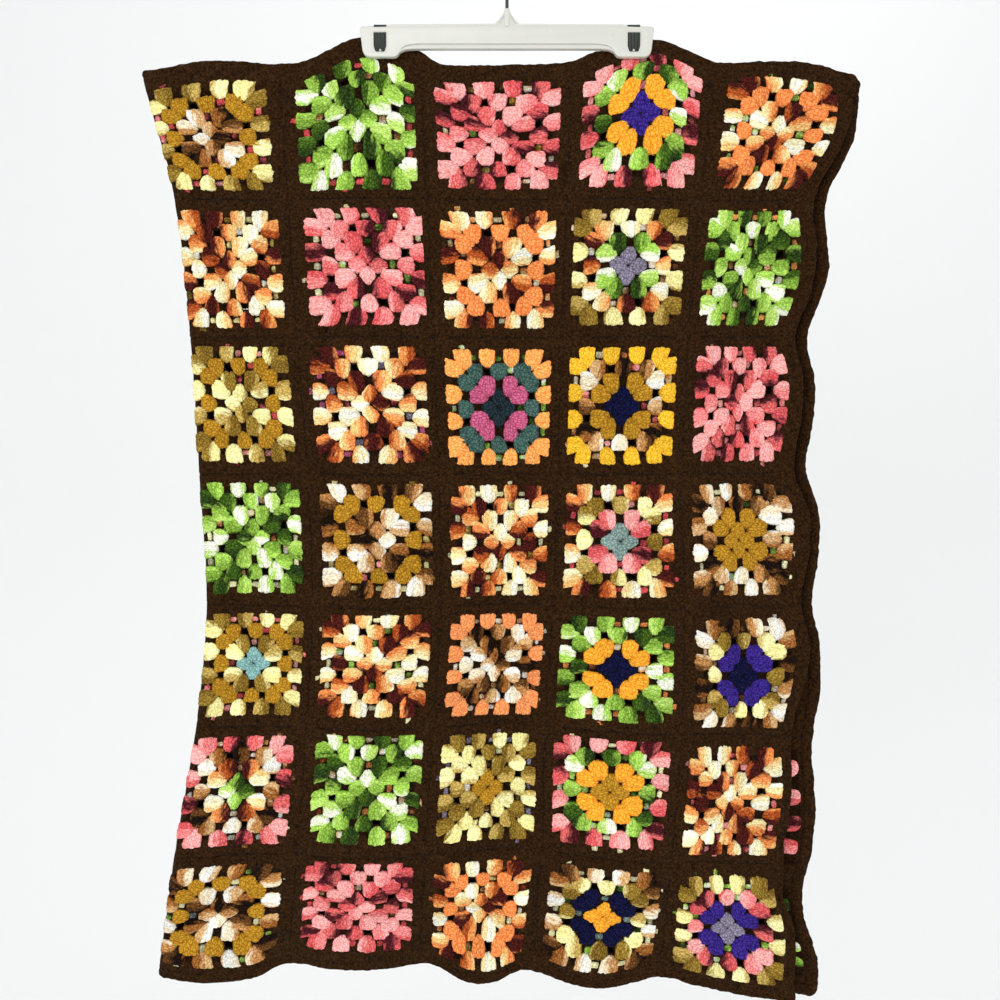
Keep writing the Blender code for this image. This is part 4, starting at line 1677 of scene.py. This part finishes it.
@dataclass(frozen=True)
class Hanger:
    """The clip hanger: a moulded beam with a pad and a spring at each end, its back jaws and its hook.

    The outlines' corners are x, z and radius in millimetres, for the right half from the top down.
    """

    clip_x: float = 131.0
    front: float = -3.5 * MM
    back: float = 3.5 * MM
    rounding: float = 1.0 * MM
    body: Corners = (
        (2.6, -76.5, 1.5),
        (3.6, -81, 4),
        (7.4, -86.5, 8),
        (12.8, -92, 4),
        (118, -92.6, 30),
        (124.2, -93.2, 0.6),
        (124.2, -94.7, 0.5),
        (137.8, -95.1, 0.5),
        (137.8, -93.8, 0.6),
        (152, -94.6, 3.5),
        (148.6, -124.8, 9),
        (113.5, -124.8, 7.5),
        (108.5, -116.2, 4),
        (103.5, -113.5, 6),
        (92, -111.9, 20),
    )
    window: Corners = (
        (6.6, -100.3, 0.8),
        (6.5, -114.5, 6),
        (4.6, -119.8, 1.8),
    )
    frame: Corners = (
        (7.9, -98.9, 1.5),
        (7.8, -114.9, 6.5),
        (5.6, -121.1, 2.5),
    )
    top_rim: Corners = (
        (10, -92.05, 0.4),
        (118, -92.7, 30),
        (123.7, -93.2, 0.4),
        (123.7, -95.2, 0.4),
        (118, -94.8, 30),
        (10, -94.1, 0.4),
    )
    lip: Corners = (
        (98, -112.7, 20),
        (105.5, -114.5, 5),
        (111.5, -118.2, 0.5),
        (111.5, -120.4, 0.5),
        (105.5, -117.6, 5),
        (96, -116.9, 20),
    )
    core: Corners = ((103, -111, 0.5), (103, -114.5, 0.5))
    column: Corners = ((1.5, -79.5, 1.4), (2.4, -83, 3), (2.4, -95, 2.2))
    boss_rib: Corners = ((3.4, -83, 0.3), (9.3, -91.6, 0.4), (7.6, -91.9, 0.4), (3.1, -85.2, 0.3))
    spring_path: tuple[tuple[float, float, float], ...] = (
        (-1.9, -120.8, 4.7),
        (-1.9, -117, 5.4),
        (-1.9, -113.5, 6.4),
        (-1.9, -108, 6.9),
        (-1.9, -99, 6.9),
        (-1.9, -94.6, 6.4),
        (-1.5, -93, 6.4),
        (-0.3, -92.2, 6.4),
        (6, -91.6, 6.4),
        (13, -90.7, 6.4),
        (17, -90.3, 6.4),
        (18.9, -91.1, 6.4),
        (19.4, -92.9, 6.4),
        (19.4, -114, 6.4),
    )
    spring_ribs: int = 4
    rib_depth: float = 0.35 * MM
    ribs_from: tuple[float, float] = (-94 * MM, -99 * MM)
    spring_thickness: float = 0.8 * MM
    rivet_radius: float = 1.5 * MM
    rivet_height: float = 1.2 * MM
    rivet_place: tuple[float, float] = (-1.9 * MM, -117.9 * MM)

    def add_beam(self, finish: bpy.types.Material) -> None:
        """Builds the beam and what is moulded on it.

        Those are the rims along its top and round its windows, the lip below its groove, the core behind
        that, and the boss's column and ribs.

        Args:
            finish: its plastic.
        """
        places = (-self.clip_x, self.clip_x)
        body = [rounded(self.body + mirrored(self.body))]
        windows = [rounded(moved(self.window + mirrored(self.window), x)) for x in places]
        frames = [rounded(moved(self.frame + mirrored(self.frame), x)) for x in places]
        beam = add_plate("beam_body", body + windows, self.front, self.back, self.rounding, finish)
        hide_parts("hanger_beam")
        ribs = [rounded(self.boss_rib), rounded(mirrored(self.boss_rib))]
        # Each has its outlines, how far it stands proud of the beam's faces and its edge's radius.
        for name, outlines, proud, rounding in (
            ("beam_rims", [rounded(self.top_rim), rounded(mirrored(self.top_rim))], 0.35, 0.4),
            ("window_frames", frames + windows, 0.4, 0.5),
            ("beam_lip", [rounded(self.lip + mirrored(self.lip))], -0.1, 1.1),
            ("beam_core", [rounded(self.core + mirrored(self.core))], -1.5, 0.2),
            ("boss_ribs", [rounded(self.column + mirrored(self.column)), *ribs], 0.9, 0.7),
        ):
            low, high = self.front - proud * MM, self.back + proud * MM
            add_plate(name, outlines, low, high, rounding * MM, finish)

    def add_spring(self, side: str, middle: float, finish: bpy.types.Material) -> None:
        """Builds a clip's spring, a band along a path from the window's foot over both jaws.

        The band's outer face lies half its thickness off the path, along the normal, and its front leg has
        ribs, whose depth is a cosine of the share across.

        Args:
            side: which clip it belongs to.
            middle: its x.
            finish: its steel.
        """
        y, z, half = (column[:, None] * MM for column in np.array(self.spring_path).T)
        share = np.linspace(-1, 1, 12 * self.spring_ribs + 1)
        step_y, step_z = np.gradient(y[:, 0]), np.gradient(z[:, 0])
        length = np.hypot(step_y, step_z)
        out_y, out_z = (-step_z / length)[:, None], (step_y / length)[:, None]
        in_front = smooth_step(*self.ribs_from, z) * (y < 0)
        ribbed = self.rib_depth * (np.cos(self.spring_ribs * np.pi * share) - 1) * in_front
        across = middle + share * half
        outer, inner = self.spring_thickness / 2 + ribbed, -self.spring_thickness / 2 + 0 * ribbed
        points = [
            np.stack([across, y + out_y * off, z + out_z * off], axis=-1).reshape(-1, 3)
            for off in (outer, inner)
        ]
        quads, rim = joined_grid(*across.shape)
        onward = np.roll(rim, -1)
        walls = np.stack([onward, rim, rim + across.size, onward + across.size], axis=-1)
        faces = [quads, quads[:, ::-1] + across.size, walls]
        mesh = bpy.data.meshes.new(f"ribbed_spring_{side}")
        mesh.from_pydata(np.concatenate(points).tolist(), [], np.concatenate(faces).tolist())
        spring = add_part(f"ribbed_spring_{side}", mesh, finish, math.radians(50))
        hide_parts(f"spring_{side}")

    def add_rivet(self, side: str, middle: float, finish: bpy.types.Material) -> None:
        """Builds the rivet at a spring's foot, a low dome: an ellipse's profile turned about its middle.

        Args:
            side: which clip it belongs to.
            middle: its x.
            finish: its steel.
        """
        around = np.linspace(0, 2 * np.pi, 20, endpoint=False)
        rise = np.linspace(0, 0.46 * np.pi, 5)[:, None]
        out = self.rivet_radius * np.cos(rise)
        foot_y, foot_z = self.rivet_place
        x, z = middle + out * np.cos(around), foot_z + out * np.sin(around)
        y = foot_y - self.rivet_height * np.sin(rise) + 0 * x
        number = np.arange(x.size).reshape(x.shape)
        quads = joined_rings(*x.shape).reshape(-1, 4)
        faces = [*quads.tolist(), number[-1].tolist(), number[0, ::-1].tolist()]
        mesh = bpy.data.meshes.new(f"rivet_{side}")
        mesh.from_pydata(np.stack([x, y, z], axis=-1).reshape(-1, 3).tolist(), [], faces)
        add_part(f"rivet_{side}", mesh, finish)

    def dress(self) -> None:
        """Builds the beam and its springs and rivets, and gives each kept node its finish."""
        self.add_beam(PlasticFinish("ivory_plastic").material())
        spring = SteelFinish("ribbed_spring_steel", colour="#454946", roughness=0.45).material()
        bright = SteelFinish("rivet_steel", colour="#d8d8d4").material()
        for side, middle in (("left", -self.clip_x * MM), ("right", self.clip_x * MM)):
            self.add_spring(side, middle, spring)
            self.add_rivet(side, middle, bright)
        finishes = {
            "back_jaw_left": PlasticFinish("ivory_jaw_left"),
            "back_jaw_right": PlasticFinish("ivory_jaw_right"),
            # The hook's dark colour is a painted reflection of the dark surroundings that its steel mirrors.
            "hook": SteelFinish("hook_steel", colour="#4c4c4b"),
        }
        for node, finish in finishes.items():
            frame["nodes"][node].data.materials.clear()
            frame["nodes"][node].data.materials.append(finish.material())
            log.info("%s: %s", node, finish.name)


# ---- the studio ----


@dataclass(frozen=True)
class Studio:
    """The camera, a pale cove and soft light: each light's name, place, side and power in watts."""

    camera_place: tuple[float, float, float] = (-0.0072, -1.0245, -0.495)
    camera_tilt: float = math.radians(85)
    lens_mm: float = 34.34
    sensor_mm: float = 36.0
    floor_z: float = -2.0
    wall_y: float = 2.4
    cove_radius: float = 1.2
    half_length: float = 6.0
    cove_colour: str = "#f1f2f1"
    cove_roughness: float = 0.9
    target: tuple[float, float, float] = (0.0, 0.0, -0.6)
    lights: tuple[tuple[str, tuple[float, float, float], float, float], ...] = (
        ("key", (-1.0, -2.7, 0.1), 2.2, 45),
        ("fill", (1.9, -2.3, -0.5), 2.2, 12),
        ("rear", (0.6, 1.5, 2.4), 2.0, 24),
    )
    world_strength: float = 0.84
    world_colour: tuple[float, float, float] = (0.97, 0.98, 1.0)

    def add_camera(self) -> None:
        """Adds the camera, level but for five degrees down."""
        data = bpy.data.cameras.new("camera")
        data.lens = self.lens_mm
        data.sensor_width = self.sensor_mm
        camera = link_object("camera", data)
        camera.location = self.camera_place
        camera.rotation_euler = (self.camera_tilt, 0, 0)
        bpy.context.scene.camera = camera

    def add_cove(self) -> None:
        """Adds the floor, which curves up a quarter circle into a wall far behind."""
        bend = np.linspace(0, math.pi / 2, 17)
        y = np.concatenate([[-self.half_length], self.wall_y - self.cove_radius * (1 - np.sin(bend))])
        z = np.concatenate([[0.0], self.cove_radius * (1 - np.cos(bend))]) + self.floor_z
        y, z = np.append(y, self.wall_y), np.append(z, self.floor_z + self.half_length)
        x = np.array([-self.half_length, self.half_length])
        points = np.stack([np.tile(x, len(y)), np.repeat(y, 2), np.repeat(z, 2)], axis=-1)
        first = 2 * np.arange(len(y) - 1)[:, None]
        mesh = bpy.data.meshes.new("cove")
        mesh.from_pydata(points.tolist(), [], (first + np.array([0, 1, 3, 2])).tolist())
        mesh.shade_smooth()
        finish, tree, shader = new_material("pale_cove")
        feed(tree, shader, {"Base Color": (*linear(self.cove_colour), 1), "Roughness": self.cove_roughness})
        mesh.materials.append(finish)
        link_object("cove", mesh)

    def add_light(self, name: str, place: tuple[float, float, float], side: float, power: float) -> None:
        """Adds a soft square light that points at the blanket.

        Args:
            name: its name.
            place: where it hangs.
            side: the length of its sides.
            power: in watts.
        """
        data = bpy.data.lights.new(name, "AREA")
        data.shape = "SQUARE"
        data.size = side
        data.energy = power
        light = link_object(name, data)
        light.location = place
        away = np.array(place) - np.array(self.target)
        flat = math.hypot(away[0], away[1])
        light.rotation_euler = (math.atan2(flat, away[2]), 0, math.atan2(away[0], -away[1]))

    def build(self) -> None:
        """Sets up the whole studio."""
        self.add_camera()
        self.add_cove()
        for light in self.lights:
            self.add_light(*light)
        world = bpy.data.worlds.new("studio")
        world.use_nodes = True
        background = world.node_tree.nodes["Background"]
        sky = {"Strength": self.world_strength, "Color": (*self.world_colour, 1)}
        feed(world.node_tree, background, sky)
        bpy.context.scene.world = world
        bpy.context.scene.view_settings.view_transform = "Standard"
        bpy.context.scene.view_settings.look = "None"


def main() -> None:
    """Builds the blanket, the hanger and the studio in that order."""
    logging.basicConfig(level=logging.INFO, format="%(name)s: %(message)s")
    brown_yarn = YarnFinish("brown_yarn", seam_shade=(0.7, 0.6), crest=1.05, mottle=(0.2, 1.8), fuzz=2.6 * MM)
    GrannyBlanket().dress(YarnFinish().material(), brown_yarn.material())
    Hanger().dress()
    Studio().build()


if __name__ == "__main__":
    main()
